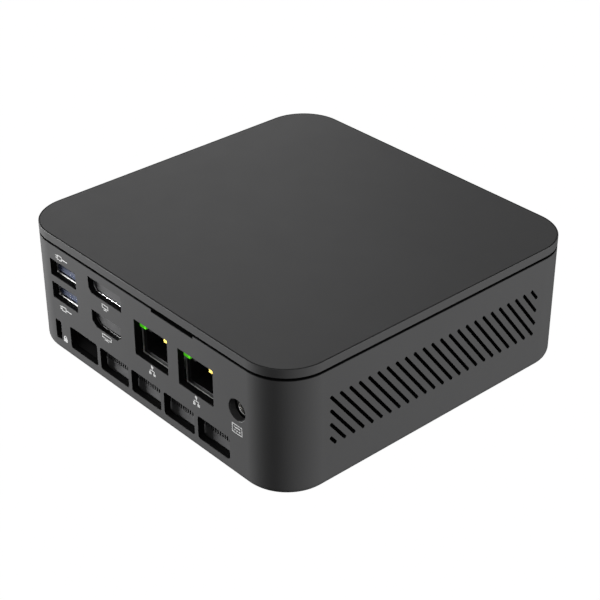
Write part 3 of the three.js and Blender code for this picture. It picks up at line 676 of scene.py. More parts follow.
def intake_slots():
    """Rows of slots that fill a circle under the fan; the first and last row have one slot."""
    gap = 2.4
    slots = []
    for row, dy in enumerate(spaced(11, 3.6)):
        chord = 2 * math.sqrt(20.4 ** 2 - dy ** 2)
        count = 1 if row in (0, 10) else 2
        width = (chord - gap * (count - 1)) / count
        slots += [stadium(width, 1.9, 8, x, FAN_Y + dy) for x in spaced(count, width + gap, FAN_X)]
    return slots


def bottom_cover():
    """The steel plate underneath: intake slots, dished screw seats, foot rings, bracket holes."""
    low, high = box_mm("bottom_cover")
    rim = quarter_round(0.3, 3)
    section = [(4 + i, FOOT + rise) for i, rise in rim]
    section += [(4 + i, high.z - rise) for i, rise in reversed(rim)]
    plate = loft([case_ring(inset, z) for inset, z in section])

    def hole(outline, flare=0.15, face=FOOT):
        return pocket(outline, along_z, face, high.z + 1, flare)

    holes = [hole(slot) for slot in intake_slots()]
    raised = []
    boss = [(0, FOOT + 0.3), (5.3, FOOT + 0.3), (5.3, FOOT - 0.02), (5.05, FOOT - 0.1)]
    boss += [(5.0, low.z + 0.1), (4.9, low.z), (0, low.z)]
    for side in (-1, 1):
        centre = side * 37.5, -24
        raised.append(turned(boss, centre, 40))
        holes.append(hole(circle(2, 32, *centre), 0.1, low.z))
        holes += [hole(stadium(13, 1.5, 6, side * 22, y)) for y in spaced(5, 3.2, -44.6)]
    holes += [hole(circle(1.7, 24, *centre), 0.3) for centre in screw_places]
    foot_ring = [(0, FOOT + 0.3), (7.9, FOOT + 0.3), (7.9, FOOT - 0.2), (7.6, FOOT - 0.3),
                 (7.35, FOOT - 0.3), (7.25, FOOT + 0.1), (0, FOOT + 0.1)]
    raised += [turned(foot_ring, centre, 48) for centre in foot_places]
    make("base_plate", [plate], [plate_look, plate_look], replaces=["bottom_cover"],
         joins=raised, cuts=holes)


def feet():
    """Four dished rubber feet."""
    profile = [(0, 0.35), (3.2, 0.35), (3.6, 0.15), (4.0, 0), (6.3, 0), (6.7, 0.15), (6.9, 0.5)]
    profile += [(7.0, FOOT - 0.3), (6.8, FOOT - 0.05), (0, FOOT - 0.05)]
    for centre, name in zip(foot_places, corner_names):
        make(f"rubber_foot_{name}", [turned(profile, centre, 56)], [rubber_look],
             replaces=[f"foot_{name}"])


def cross_recess(x, y, z, depth, up):
    """A cutter for a cross-head screw: two tapered bars. up is 1 for a head that faces up."""
    bars = []
    for turn in (0, 90):
        wide = rounded_rect(2.9, 0.75, 0.12, 2)
        narrow = rounded_rect(1.5, 0.5, 0.08, 2)
        rings = [along_z(wide, 0.2 * up), along_z(narrow, -depth * up)]
        bars.append(moved(loft(rings), x, y, z, turn + 20))
    return bars


def screw(name, node, head_r, head_top, head_under, shank_r, shank_end, x, y):
    """A pan-head screw; its shank carries thread ridges nearly down to the end."""
    up = 1 if head_top > head_under else -1
    rise = abs(head_top - head_under)
    profile = [(0, head_top), (head_r * 0.55, head_top), (head_r * 0.85, head_top - up * 0.25 * rise)]
    profile += [(head_r, head_top - up * 0.6 * rise), (head_r, head_under + up * 0.08)]
    profile += [(head_r - 0.08, head_under), (shank_r, head_under)]
    z = head_under
    while abs(shank_end - z) > 1.0:
        for r in (shank_r, shank_r * 0.84):
            z -= up * 0.25
            profile.append((r, z))
    profile += [(shank_r * 0.7, shank_end), (0, shank_end)]
    make(name, [turned(profile, (x, y), 32)], [steel_look], replaces=[node],
         cuts=cross_recess(x, y, head_top, min(0.8, rise * 0.8), up))


def screws():
    """The screws of the base plate and of the board, and the one that holds the storage card."""
    for place, name in zip(screw_places, corner_names):
        screw(f"base_screw_{name}", f"cover_screw_{name}", 2.7, FOOT - 1.3, FOOT - 0.05,
              1.2, FOOT + 7.5, *place)
        screw(f"main_screw_{name}", f"board_screw_{name}", 2.6, BOARD_TOP + 1.6, PART_BASE,
              1.2, BOARD_TOP - 6.5, *place)
    top = box_mm("storage_screw")[1].z
    place = middle_of("storage_screw")
    post = [(0, PART_BASE), (1.6, PART_BASE), (1.6, top - 1.2), (0, top - 1.2)]
    make("card_screw_post", [turned(post, place, 24)], [steel_look])
    screw("card_screw", "storage_screw", 2.8, top + 0.1, top - 0.8, 1.1, top - 3, *place)


# ---- Sockets: drawn with the mouth at y = 0, opening towards +Y -------------------------------


def usb_mouth(b, face=0.0):
    """A cutter for the mouth of a USB-A socket."""
    mouth = rounded_rect(USB_MOUTH_W, USB_MOUTH_H, 0.25, 3, 0, b)
    return pocket(mouth, along_y, face, -11, flare=0.18, look=0)


def usb_tongue(b, side, front):
    """Contact carrier with a chamfered nose and gilded contacts; side 1 is high, -1 is low."""
    middle = b + side * USB_TONGUE_DROP
    tip = rounded_rect(11.3, 1.5, 0.2, 2, 0, middle)
    full = rounded_rect(11.8, 2.1, 0.2, 2, 0, middle)
    nose = loft([along_y(tip, front), along_y(full, front - 0.35), along_y(full, -10.6)])
    face = middle - side * 1.05
    flat = teeth(spaced(4, 2.4), 0.5, (-8, face), (-1.6, face - side * 0.06), 0.02)
    sprung = teeth(spaced(5, 1.9), 0.3, (-3.4, face), (-2.2, face - side * 0.12), 0.04)
    return [nose] + flat + sprung


def spring_fingers(b):
    """Sheet springs pressed out of the floor and the roof of a USB-A mouth."""
    fingers = []
    for side in (-1, 1):
        z = b + side * (USB_MOUTH_H / 2 - 0.02)
        bent = [(y, z - side * rise) for y, rise in ((-2.2, 0), (-4.0, 0.35), (-5.6, 0.5), (-6.6, 0.1))]
        fingers += [strip(x, bent, 0.9, 0.1) for x in (-3.1, 3.1)]
    return fingers


def strip(x, path, half_width, half_thickness):
    """A bent sheet strip whose middle runs through (y, z) points."""
    section = [(-half_width, -half_thickness), (half_width, -half_thickness),
               (half_width, half_thickness), (-half_width, half_thickness)]
    return loft([[(x + dx, y, z + dz) for dx, dz in section] for y, z in path])


def usb_stack():
    """A can whose two mouths reach into their windows, with its springs and contact carriers."""
    low, high = box_mm("usb_stack_shell")
    half = (high.x - low.x) / 2
    place = {"x": -USB_A, "y": high.y}
    body = block((-half, low.y - high.y, PART_BASE), (half, 0, high.z), 0.25)
    noses = [prism(rounded_rect(13.4, 5.72, 0.45, 4, 0, b), along_y, -1, USB_NOSE, 0.12, 3) for b in USB_BS]
    make("usb_stack_can", [body], [nickel_look], replaces=["usb_stack_shell"],
         joins=noses, cuts=[usb_mouth(b, USB_NOSE) for b in USB_BS], place=place)
    details = [finger for b in USB_BS for finger in spring_fingers(b)]
    details.append(block((-1.2, -9, high.z - 0.02), (1.2, -4, high.z + 0.14), 0.08))
    details += teeth((-half, half), 0.12, (-14, PART_BASE + 3), (-5, PART_BASE + 4), 0.1, look=0, steps=2)
    make("usb_stack_springs", details, [nickel_look], place=place)
    for level, b in zip(("lower", "upper"), USB_BS):
        make(f"usb_{level}_contacts", usb_tongue(b, -1, USB_NOSE - 0.4), [blue_look, gold_look],
             replaces=[f"usb_{level}_tongue"], place=place)


def front_usb():
    """Two USB-A sockets that stand a little behind the front wall."""
    for side, a in zip(("left", "right"), FRONT_USB_AS):
        name = f"front_usb_{side}"
        low, high = box_mm(f"{name}_shell")
        half = (high.x - low.x) / 2
        depth = high.y - low.y
        place = {"x": -a, "y": low.y, "turn": 180}
        body = block((-half, -depth, FRONT_B - 3), (half, 0, high.z), 0.25)
        foot = block((-half + 0.3, -depth + 0.3, PART_BASE), (half - 0.3, -2.1, FRONT_B - 2.5), 0.1)
        make(f"{name}_can", [body], [nickel_look], replaces=[f"{name}_shell"],
             joins=[foot], cuts=[usb_mouth(FRONT_B)], place=place)
        make(f"{name}_springs", spring_fingers(FRONT_B), [nickel_look], place=place)
        make(f"{name}_contacts", usb_tongue(FRONT_B, 1, -0.5), [blue_look, gold_look],
             replaces=[f"{name}_tongue"], place=place)


def video_socket(name, make_outline, shell_look, nose):
    """A pressed shell with a rolled lip and springs round a grey contact carrier.

    nose is how far the mouth reaches into its window."""
    a, b, w, h = seen_from_back(f"{name}_shell")
    place = {"x": -a, "y": SOCKET_FACE + nose, "z": b}
    shell = cup(make_outline(w, h), along_y, 0, -11.9, 0.24)
    roof = h / 2 - 0.33
    bend = [(-1.6, roof), (-3.6, roof - 0.4), (-4.8, roof - 0.1)]
    springs = [strip(x, bend, 0.8, 0.07) for x in (-3.6, 3.6)]
    make(f"{name}_can", [shell] + springs, [shell_look], replaces=[f"{name}_shell"], place=place)
    carrier_w, carrier_h, drop = w - 1.1, h - 1.9, 0.5
    outline = shifted(make_outline(carrier_w, carrier_h), 0, -drop)
    levels = [(0.15, -0.2), (0, -0.35), (0, -11.4)]
    carrier = loft([along_y(offset(outline, -inset), level) for inset, level in levels])
    top = carrier_h / 2 - drop
    contacts = teeth(spaced(10, (carrier_w - 1.2) / 10), 0.16, (-7, top - 0.05), (-1, top + 0.05), 0.02)
    make(f"{name}_contacts", [carrier] + contacts, [insert_look, gold_look],
         replaces=[f"{name}_tongue"], place=place)


def video_sockets():
    """Two video sockets above each other on one ribbed housing."""
    video_socket("hdmi", hdmi_outline, dull_look, 1.4)
    video_socket("displayport", displayport_outline, steel_look, 1.1)
    low, high = box_mm("video_stack_housing")
    middle = (HDMI_B + DP_B) / 2
    rear = block((low.x, low.y, PART_BASE), (high.x, low.y + 6, high.z), 0.3)
    shelf = block((low.x, low.y + 5, middle - 2.8), (high.x, high.y, middle + 2.8), 0.2)
    places = [low.x + 2.5 + 3.4 * k for k in range(4)]
    ribs = teeth(places, 0.5, (low.y - 0.25, PART_BASE + 1), (low.y + 1, high.z - 1), EDGE, look=0, steps=2)
    make("video_stack_body", [rear], [black_look], replaces=["video_stack_housing"],
         joins=[shelf] + ribs)


def lan_can(name, place):
    """A thin pressed can with a seam along its roof and a sprung tab on each side."""
    outline = rounded_rect(2 * LAN_HALF, LAN_TOP - PART_BASE, 0.4, 3, 0, (LAN_TOP + PART_BASE) / 2)
    can = cup(outline, along_y, 0, -LAN_DEPTH, 0.45)
    seam = block((-0.2, -19, LAN_TOP - 0.05), (0.2, -1, LAN_TOP + 0.08), 0.03)
    tabs = [block((side * LAN_HALF - 0.2, -9, LAN_B - 1), (side * LAN_HALF + 0.14, -5, LAN_B + 2), 0.1)
            for side in (-1, 1)]
    make(f"{name}_can", [can, seam] + tabs, [can_look], replaces=[f"{name}_shell"], place=place)


def lan_insert(name, place):
    """A black insert with the stepped mouth and two holes for the lights."""
    half = LAN_HALF - 0.5
    insert = block((-half, 1 - LAN_DEPTH, PART_BASE + 0.5), (half, -0.35, LAN_TOP - 0.5), 0.12)
    steps = [(12.0, 7.6, 0.25, -1.45), (6.2, 3.4, 0.2, 3.3), (3.4, 1.2, 0.15, 5.0)]
    mouth = [rounded_rect(w, h, r, 2, 0, LAN_B + rise) for w, h, r, rise in steps]
    cutters = [pocket(m, along_y, -0.35, -14 + 2 * k, 0.12, look=0) for k, m in enumerate(mouth)]
    cutters += [prism(rounded_rect(3.3, 2.9, 0.2, 2, a, LAN_B + 4.3), along_y, -5, 0.2, 0.02, 1)
                for _, _, a in lan_lights]
    make(f"{name}_insert", [insert], [black_look], cuts=cutters, place=place)


def lan_contacts(name, place):
    """Eight gilded wires that rise towards the mouth."""
    bend = [(-13.6, -4.8), (-11, -4.7), (-9, -3.4), (-8.4, -3.2), (-8.1, -3.5)]
    wires = [tube([(x, y, LAN_B + rise) for y, rise in bend], 0.17, steps=8) for x in spaced(8, 1.02)]
    make(f"{name}_contacts", wires, [gold_look], place=place)


def lan_sockets():
    """Two network sockets, each with two light pipes in its upper corners."""
    for i, middle in enumerate(LAN_AS, 1):
        name = f"lan_{i}"
        place = {"x": -middle, "y": LAN_FACE}
        lan_can(name, place)
        lan_insert(name, place)
        lan_contacts(name, place)
        for color, look, a in lan_lights:
            pipe = prism(rounded_rect(3.0, 2.6, 0.25, 3, a, LAN_B + 4.3), along_y, -4, 0.6, 0.15, 2)
            make(f"{name}_{color}_pipe", [pipe], [look],
                 replaces=[f"{name}_{color}_light"], place=place)


def power_jack():
    """A black body, its bore lined with a sprung metal sleeve, and the centre pin."""
    low, high = box_mm("dc_jack_housing")
    y = high.y
    body = block((low.x, low.y, PART_BASE), (high.x, y, high.z), 0.3)
    bore = pocket(circle(3.1, 40, JACK_A, JACK_B), along_y, y, y - 9.4, flare=0.05, look=0)
    make("dc_jack_body", [body], [black_look], replaces=["dc_jack_housing"], cuts=[bore])
    sleeve = cup(circle(3.05, 48, JACK_A, JACK_B), along_y, y + 0.12, y - 9.2, 0.3)
    make("dc_jack_sleeve", [sleeve], [nickel_look])
    pin = [(0, -1.1), (0.6, -1.15), (0.95, -1.5), (1.0, -2), (1.0, -8.8), (1.6, -9.0), (0, -9.1)]
    make("dc_jack_centre_pin", [turned(pin, (JACK_A, JACK_B), 28, "y", y)], [nickel_look],
         replaces=["dc_jack_pin"])


def usb_c_socket():
    """A rolled oval shell round a tongue with contacts on both faces."""
    x, y = -USB_C_A, box_mm("usb_c_shell")[0].y
    shell = cup(stadium(9.2, 3.4, 10, USB_C_A, FRONT_B), along_y, y, y + 9.3, 0.3)
    foot = block((x - 3.6, y + 2.2, PART_BASE), (x + 3.6, y + 9, FRONT_B - 1.5), 0.1)
    make("usb_c_can", [shell, foot], [nickel_look], replaces=["usb_c_shell"])
    parts = [block((x - 3.3, y + 0.9, FRONT_B - 0.34), (x + 3.3, y + 9.0, FRONT_B + 0.34))]
    for place in spaced(12, 0.5, x):
        for z in (FRONT_B - 0.35, FRONT_B + 0.35):
            parts += teeth([place], 0.13, (y + 1.4, z - 0.03), (y + 5, z + 0.03), 0.01)
    make("usb_c_contacts", parts, [black_look, gold_look], replaces=["usb_c_tongue"])


def audio_socket():
    """A rounded mouth ring in a box that is closed at its far end."""
    low, high = box_mm("audio_jack")
    x, y = -AUDIO_A, low.y
    centre = AUDIO_A, FRONT_B
    profile = [(1.75, 11), (1.75, 0.4), (2.0, 0.1), (2.6, 0), (2.9, 0.25), (2.9, 2.0), (2.9, 11)]
    ring = turned(profile, centre, 40, "y", y, closed=True)
    end = turned([(0, 11), (2.9, 11), (2.9, 12), (0, 12)], centre, 40, "y", y)
    sides = teeth((x - 3, x + 3), 0.3, (y + 2.2, PART_BASE), (high.y, FRONT_B + 3.1), 0.1, look=0, steps=2)
    roof = block((x - 3.1, y + 2.2, FRONT_B + 2.7), (x + 3.1, high.y, FRONT_B + 3.2), 0.1)
    make("audio_jack_body", [ring, end] + sides + [roof], [black_look],
         replaces=["audio_jack"])


# ---- Power button ----------------------------------------------------------------------------


def power_button():
    """A dished cap with a rounded rim, and a flange that stops it behind the wall."""
    low, high = box_mm("power_button")
    y, depth = low.y, high.y - low.y
    centre = BUTTON_A, FRONT_B
    profile = [(0, 0.45), (2.0, 0.4), (3.6, 0.2), (4.1, 0.05), (4.35, 0), (4.55, 0.12), (4.6, 0.4)]
    profile += [(4.6, 2.2), (5.5, 2.3), (5.5, 3.2), (1.5, 3.3), (1.5, depth), (0, depth)]
    make("button_cap", [turned(profile, centre, 64, "y", y)], [button_look],
         body="button", replaces=["power_button"])
    ring = arc(*centre, 1.92, 125, 415, 40) + arc(*centre, 1.48, 415, 125, 40)
    bar = shifted([(-0.11, 0.7), (0.11, 0.7), (0.11, 2.2), (-0.11, 2.2)], *centre)
    make("button_mark", printed([ring, bar], y + 0.38, -1), [print_look], body="button")


def dome_switch():
    """The small switch behind the power button."""
    low, high = box_mm("power_switch")
    y = low.y
    base = block((low.x, y + 0.8, PART_BASE), high, 0.2)
    profile = [(0, 0), (1.3, 0), (1.5, 0.2), (1.5, 1), (0, 1)]
    plunger = turned(profile, (BUTTON_A, FRONT_B), 24, "y", y)
    places = (-BUTTON_A - 2.2, -BUTTON_A + 2.2)
    legs = teeth(places, 0.4, (high.y, PART_BASE), (high.y + 1, PART_BASE + 0.25), 0.05, steps=2)
    make("dome_switch", [base, plunger] + legs, [black_look, solder_look],
         replaces=["power_switch"])


def status_lens():
    """The clear end of the light pipe in the front wall."""
    low, high = box_mm("power_light")
    depth = high.y - low.y
    lens = [(0, 0), (0.55, 0.03), (0.8, 0.25), (0.8, depth), (0, depth)]
    make("status_lens", [turned(lens, (LIGHT_A, FRONT_B), 24, "y", low.y)], [clear_light_look],
         replaces=["power_light"])


# ---- Printed pictograms ----------------------------------------------------------------------


def frame_strips(a, b, w, h, line):
    """The four strips of a rectangle's outline."""
    across, up = (w - line) / 2, (h - line) / 2
    strips = [rounded_rect(w, line, 0.05, 1, a, b + s * up) for s in (1, -1)]
    return strips + [rounded_rect(line, h - 2 * line, 0.02, 1, a + s * across, b) for s in (-1, 1)]


def plug_icon(a, b):
    """A flat plug on a lead."""
    strips = frame_strips(a - 1.2, b, 2.6, 1.8, 0.35)
    strips += [rounded_rect(0.9, 0.3, 0.05, 1, a - 2.95, b + s * 0.4) for s in (1, -1)]
    return strips + [rounded_rect(3.0, 0.4, 0.1, 2, a + 1.6, b)]


def screen_icon(a, b, w):
    """A monitor on its stand."""
    stand = [rounded_rect(w * 0.5, 0.3, 0.05, 1, a, b - 0.95), rounded_rect(0.35, 0.4, 0.03, 1, a, b - 0.6)]
    return frame_strips(a, b + 0.3, w, 1.5, 0.3) + stand


def network_icon(a, b):
    """Three linked boxes."""
    boxes = [rounded_rect(1.1, 0.95, 0.1, 2, a, b + 1.25)]
    boxes += [rounded_rect(1.1, 0.95, 0.1, 2, a + s, b - 1.25) for s in (-1.05, 1.05)]
    links = [rounded_rect(0.3, 0.8, 0.02, 1, a, b + 0.4), rounded_rect(2.4, 0.3, 0.02, 1, a, b - 0.1)]
    links += [rounded_rect(0.3, 0.55, 0.02, 1, a + s, b - 0.5) for s in (-1.05, 1.05)]
    return boxes + links


def polarity_icon(a, b):
    """A solid bar over a dashed one, inside a frame."""
    strips = frame_strips(a, b, 4.6, 3.2, 0.3)
    strips.append(rounded_rect(3.0, 0.4, 0.05, 1, a, b + 0.5))
    return strips + [rounded_rect(0.75, 0.4, 0.05, 1, a + s, b - 0.5) for s in (-1.1, 0, 1.1)]


def padlock_icon(a, b):
    """A lock's body under its bow."""
    body = rounded_rect(2.1, 1.5, 0.2, 3, a, b - 0.55)
    bow = arc(a, b + 0.2, 0.85, 0, 180, 14) + arc(a, b + 0.2, 0.5, 180, 0, 14)
    return [body, bow]


def printed(outlines, y, way):
    """Prints outlines on a wall: a film 0.03 mm proud, sunk a little into it."""
    return [loft([along_y(o, y - way * 0.08), along_y(o, y + way * 0.03)]) for o in outlines]


def pictograms():
    """The printed marks beside the sockets of the back and the front."""
    usb = plug_icon(-41.5, 39.05) + plug_icon(-41.5, 19.95)
    screens = screen_icon(-18.9, 31.5, 3.3) + screen_icon(-19.2, 20.05, 5.0)
    network = [strip for a in LAN_AS for strip in network_icon(a, 19.75)]
    rest = polarity_icon(44.5, 19.6) + padlock_icon(-43.4, 8.3)
    make("back_pictograms", printed(usb + screens + network + rest, BACK, 1), [print_look])
    front = [strip for a in FRONT_USB_AS for strip in plug_icon(a, FRONT_B + 5.6)]
    front += plug_icon(USB_C_A, FRONT_B + 5.6)
    front += [arc(AUDIO_A, FRONT_B + 5.3, 1.4, 0, 180, 20) + arc(AUDIO_A, FRONT_B + 5.3, 1.1, 180, 0, 20)]
    front += [rounded_rect(0.7, 1.2, 0.2, 2, AUDIO_A + s * 1.25, FRONT_B + 5.0) for s in (-1, 1)]
    make("front_pictograms", printed(front, -BACK, -1), [print_look])


# ---- Board -----------------------------------------------------------------------------------


def keep_outs():
    """Footprints, in mm, of what already stands on the board."""
    boxes = []
    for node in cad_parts:
        low, high = box_mm(node)
        if BOARD_TOP - 0.5 <= low.z < BOARD_TOP + 6 and node not in ("mainboard", "top_cover"):
            boxes.append((low.x, high.x, low.y, high.y))
    boxes += [(x - 4, x + 4, y - 4, y + 4) for x, y in screw_places]
    return boxes


def is_free(x, y, w, h, taken):
    """Whether a footprint lies on the board and at least margin from every taken one."""
    margin = 0.5
    inside = abs(x) + w / 2 < SIDE - 7.5 and abs(y) + h / 2 < BACK - 7.5
    clear = all(x + w / 2 + margin < x0 or x - w / 2 - margin > x1 or y + h / 2 + margin < y0
                or y - h / 2 - margin > y1 for x0, x1, y0, y1 in taken)
    return inside and clear


def board():
    """The circuit board with its tinned screw pads and everything small that stands on it."""
    low, high = box_mm("mainboard")
    edge = [(4.95, low.z), (4.85, low.z + 0.1), (4.85, high.z - 0.1), (4.95, high.z)]
    slab = loft([case_ring(inset, z) for inset, z in edge])
    holes = [prism(circle(1.7, 24, *place), along_z, low.z - 1, high.z + 1, 0.02, 1)
             for place in screw_places]
    make("circuit_board", [slab], [board_look], replaces=["mainboard"], cuts=holes)
    flat = [(1.8, -0.03), (3.3, -0.03), (3.3, 0.03), (1.8, 0.03)]
    pads = [turned(flat, place, 36, base=high.z, closed=True) for place in screw_places]
    make("board_screw_pads", pads, [solder_look])
    small_parts(high.z)


def small_parts(z):
    """Chips, coils and chip capacitors, set out wherever the board is free."""
    draw = random.Random(11)
    taken = keep_outs()
    chips, coils, caps = [], [], []
    for _ in range(260):
        w, h = draw.choice([(5, 5), (7, 7), (4, 3), (9, 9)])
        x, y = round(draw.uniform(-56, 56)), round(draw.uniform(-54, 54))
        if len(chips) < 26 and is_free(x, y, w + 1.6, h + 1.6, taken):
            taken.append((x - w / 2, x + w / 2, y - h / 2, y + h / 2))
            chips += chip(x, y, z, w, h)
    for _ in range(160):
        x, y = round(draw.uniform(-56, 56)), round(draw.uniform(-54, 54))
        if len(coils) < 36 and is_free(x, y, 6.4, 6.4, taken):
            taken.append((x - 3, x + 3, y - 3, y + 3))
            coils.append(prism(rounded_rect(5.4, 5.4, 1.1, 4, x, y), along_z, z, z + 2.8, 0.4, 3))
            coils.append(block((x - 2.9, y - 1.1, z), (x + 2.9, y + 1.1, z + 0.3), 0.08, look=1))
    for y in spaced(53, 2.05):
        for x in spaced(55, 2.1):
            if draw.random() < 0.42 and is_free(x, y, 1.2, 0.8, taken):
                caps += chip_capacitor(x, y, z, draw.random() < 0.5)
    make("board_chips", chips, [chip_look, solder_look])
    make("board_coils", coils, [ferrite_look, solder_look])
    make("board_capacitors", caps, [ceramic_look, solder_look, chip_look])


def chip(x, y, z, w, h):
    """A flat package with a row of legs on two sides."""
    parts = [block((x - w / 2, y - h / 2, z + 0.1), (x + w / 2, y + h / 2, z + 1.1), 0.12)]
    for leg_x in spaced(int(w / 0.9), 0.9, x):
        for side in (-1, 1):
            near, far = y + side * h / 2, y + side * (h / 2 + 0.6)
            parts += teeth([leg_x], 0.17, (near, z), (far, z + 0.3), 0.05)
    return parts


def chip_capacitor(x, y, z, upright):
    """A ceramic body between two tinned ends."""

    def box(along, half_length, half_width, height, look=0):
        dx, dy, half_x, half_y = along, 0, half_length, half_width
        if upright:
            dx, dy, half_x, half_y = 0, along, half_width, half_length
        return block((x + dx - half_x, y + dy - half_y, z), (x + dx + half_x, y + dy + half_y, z + height),
                     0.05, look, steps=1)

    return [box(0, 0.53, 0.28, 0.5)] + [box(side * 0.45, 0.14, 0.3, 0.53, look=1) for side in (-1, 1)]


def row_of_capacitors(count, pitch, x, y, z):
    """Capacitors beside each other on a card, whose looks 3 and 4 are ceramic and solder."""
    parts = [part for k in range(count) for part in chip_capacitor(x + pitch * k, y, z, True)]
    return [(points, faces, [mark + 3 for mark in marks]) for points, faces, marks in parts]


def memory():
    """Two modules with chips, gilded edge and a blank label, each in a latched socket."""
    for side in ("rear", "front"):
        low, high = box_mm(f"memory_module_{side}")
        x0, y0, y1 = low.x, low.y, high.y
        top = low.z + 1.2
        parts = [block((x0, y0, low.z), (high.x, y1, top), 0.08)]
        places = [x0 + 9.5 + 15.8 * k for k in range(4)]
        parts += teeth(places, 5.5, (y0 + 6, top), (y0 + 18, high.z), 0.12, steps=2)
        places = [x0 + 1.7 + 0.6 * k for k in range(108) if not 36 < k < 41]
        parts += teeth(places, 0.2, (y1 - 3.2, top - 0.02), (y1 - 0.3, top + 0.03), 0.01, look=2)
        parts += row_of_capacitors(24, 2.6, x0 + 4, y1 - 7, top)
        holes = [prism(circle(0.9, 20, x, y0 + 20), along_z, low.z - 1, low.z + 3, 0.02, 1)
                 for x in (x0 + 1.2, high.x - 1.2)]
        make(f"memory_card_{side}", parts, [board_look, chip_look, gold_look, ceramic_look, solder_look],
             replaces=[f"memory_module_{side}"], cuts=holes)
        label = block((x0 + 6, y0 + 7, high.z + 0.01), (high.x - 16, y0 + 16.5, high.z + 0.07),
                      0.02, steps=1)
        make(f"memory_label_{side}", [label], [label_look])
        memory_socket(side, low, high)


def memory_socket(side, card_low, card_high):
    """The socket of one module: its slotted bar, two sprung latches and a row of pins."""
    low, high = box_mm(f"memory_socket_{side}")
    bar = block((low.x, card_high.y - 3, PART_BASE), high, 0.25)
    slot = block((card_low.x - 0.2, card_high.y - 4, card_low.z - 0.25),
                 (card_high.x + 0.2, card_high.y + 0.2, card_low.z + 1.5), 0.02)
    make(f"memory_socket_body_{side}", [bar], [black_look, solder_look],
         replaces=[f"memory_socket_{side}"], cuts=[slot])
    arms = []
    for s, edge in ((-1, card_low.x), (1, card_high.x)):
        arms.append(block((edge + s * 0.35, low.y, PART_BASE + 0.8),
                          (edge + s * 1.7, card_high.y - 2, card_low.z + 1.8), 0.2))
        arms.append(block((edge - s * 0.9, low.y + 0.2, card_low.z + 1.3),
                          (edge + s * 1.0, low.y + 2.2, card_low.z + 2.0), 0.2))
    make(f"memory_latches_{side}", arms, [nickel_look])
    places = [low.x + 3.25 + 1.2 * k for k in range(56)]
    pins = teeth(places, 0.25, (high.y - 0.05, PART_BASE), (high.y + 0.5, PART_BASE + 0.2), 0.03)
    make(f"memory_pins_{side}", pins, [black_look, solder_look])


def card(name, chips):
    """A card with a notch for its screw.

    chips are (near end, far end, width), measured from the gilded edge."""
    low, high = box_mm(f"{name}_card")
    x = (low.x + high.x) / 2
    top = low.z + 0.8
    parts = [block(low, (high.x, high.y, top), 0.06)]
    for near, far, w in chips:
        parts += teeth([x], w / 2, (high.y - far, top), (high.y - near, high.z), 0.12, steps=2)
    places = [low.x + 1.16 + 0.5 * k for k in range(40)]
    parts += teeth(places, 0.16, (high.y - 3.6, top - 0.02), (high.y - 0.3, top + 0.03), 0.01, look=2)
    parts += row_of_capacitors(12, 1.6, x - 9, high.y - 5.4, top)
    notch = prism(circle(2.2, 28, x, low.y), along_z, low.z - 1, top + 1, 0.02, 1)
    make(f"{name}_board", parts, [card_look, chip_look, gold_look, ceramic_look, solder_look],
         replaces=[f"{name}_card"], cuts=[notch])


def card_socket(name):
    """An edge socket: a slotted bar with a row of pins behind it."""
    low, high = box_mm(f"{name}_socket")
    bar = block((low.x, low.y, PART_BASE), high, 0.2)
    slot = block((low.x - 1, low.y - 1, high.z - 2.65), (high.x + 1, low.y + 3.2, high.z - 1.35), 0.02)
    make(f"{name}_edge_socket", [bar], [black_look, solder_look],
         replaces=[f"{name}_socket"], cuts=[slot])
    places = [low.x + 1.15 + 0.55 * k for k in range(36)]
    pins = teeth(places, 0.15, (high.y - 0.1, PART_BASE), (high.y + 0.6, PART_BASE + 0.18), 0.03)
    make(f"{name}_socket_pins", pins, [black_look, solder_look])


def storage():
    """The storage card under its blank label."""
    card("storage", ((8, 22, 16), (28, 46, 14), (50, 68, 14)))
    low, high = box_mm("storage_card")
    x = (low.x + high.x) / 2
    label = block((x - 9.5, high.y - 67, high.z + 0.01), (x + 9.5, high.y - 9, high.z + 0.08), 0.02, steps=1)
    make("storage_label", [label], [label_look])
    card_socket("storage")


def radio():
    """The radio card under its screening can."""
    card("radio", ((6, 22, 17),))
    low, high = box_mm("radio_card")
    x = (low.x + high.x) / 2
    can = block((x - 8.4, high.y - 22.2, high.z - 0.1), (x + 8.4, high.y - 5.8, high.z + 0.15), 0.2)
    make("radio_screen_can", [can], [nickel_look])
    card_socket("radio")


def coin_cell():
    """A button battery under a sprung clip."""
    low, high = box_mm("coin_cell")
    x, y = middle_of("coin_cell")
    h = high.z - low.z
    profile = [(0, 0), (8.6, 0), (9.2, 0.3), (9.3, 0.8), (9.9, 0.9), (10, 1.1), (10, h - 0.3)]
    profile += [(9.8, h - 0.05), (9.5, h), (8.3, h), (8.1, h - 0.1), (0, h - 0.1)]
    make("button_battery", [turned(profile, (x, y), 64, base=low.z)], [steel_look],
         replaces=["coin_cell"])
    clips = [block((x - 11.5, y - 2, PART_BASE), (x - 9.5, y + 2, high.z + 0.2), 0.2),
             block((x - 11.5, y - 2, high.z), (x - 7, y + 2, high.z + 0.35))]
    make("battery_clip", clips, [nickel_look])


def aerials():
    """Printed foil aerials on the inside of the front wall."""
    for name in ("left", "right"):
        low, high = box_mm(f"aerial_{name}")
        parts = [block(low, high, 0.1)]
        for x0, x1, z1 in ((low.x + 2, high.x - 12, high.z - 1.2), (high.x - 10, high.x - 2, low.z + 3)):
            parts.append(block((x0, high.y - 0.02, low.z + 1.2), (x1, high.y + 0.05, z1), 0.02, look=1))
        make(f"aerial_strip_{name}", parts, [chip_look, gold_look],
             replaces=[f"aerial_{name}"])


# ---- Cooling ---------------------------------------------------------------------------------


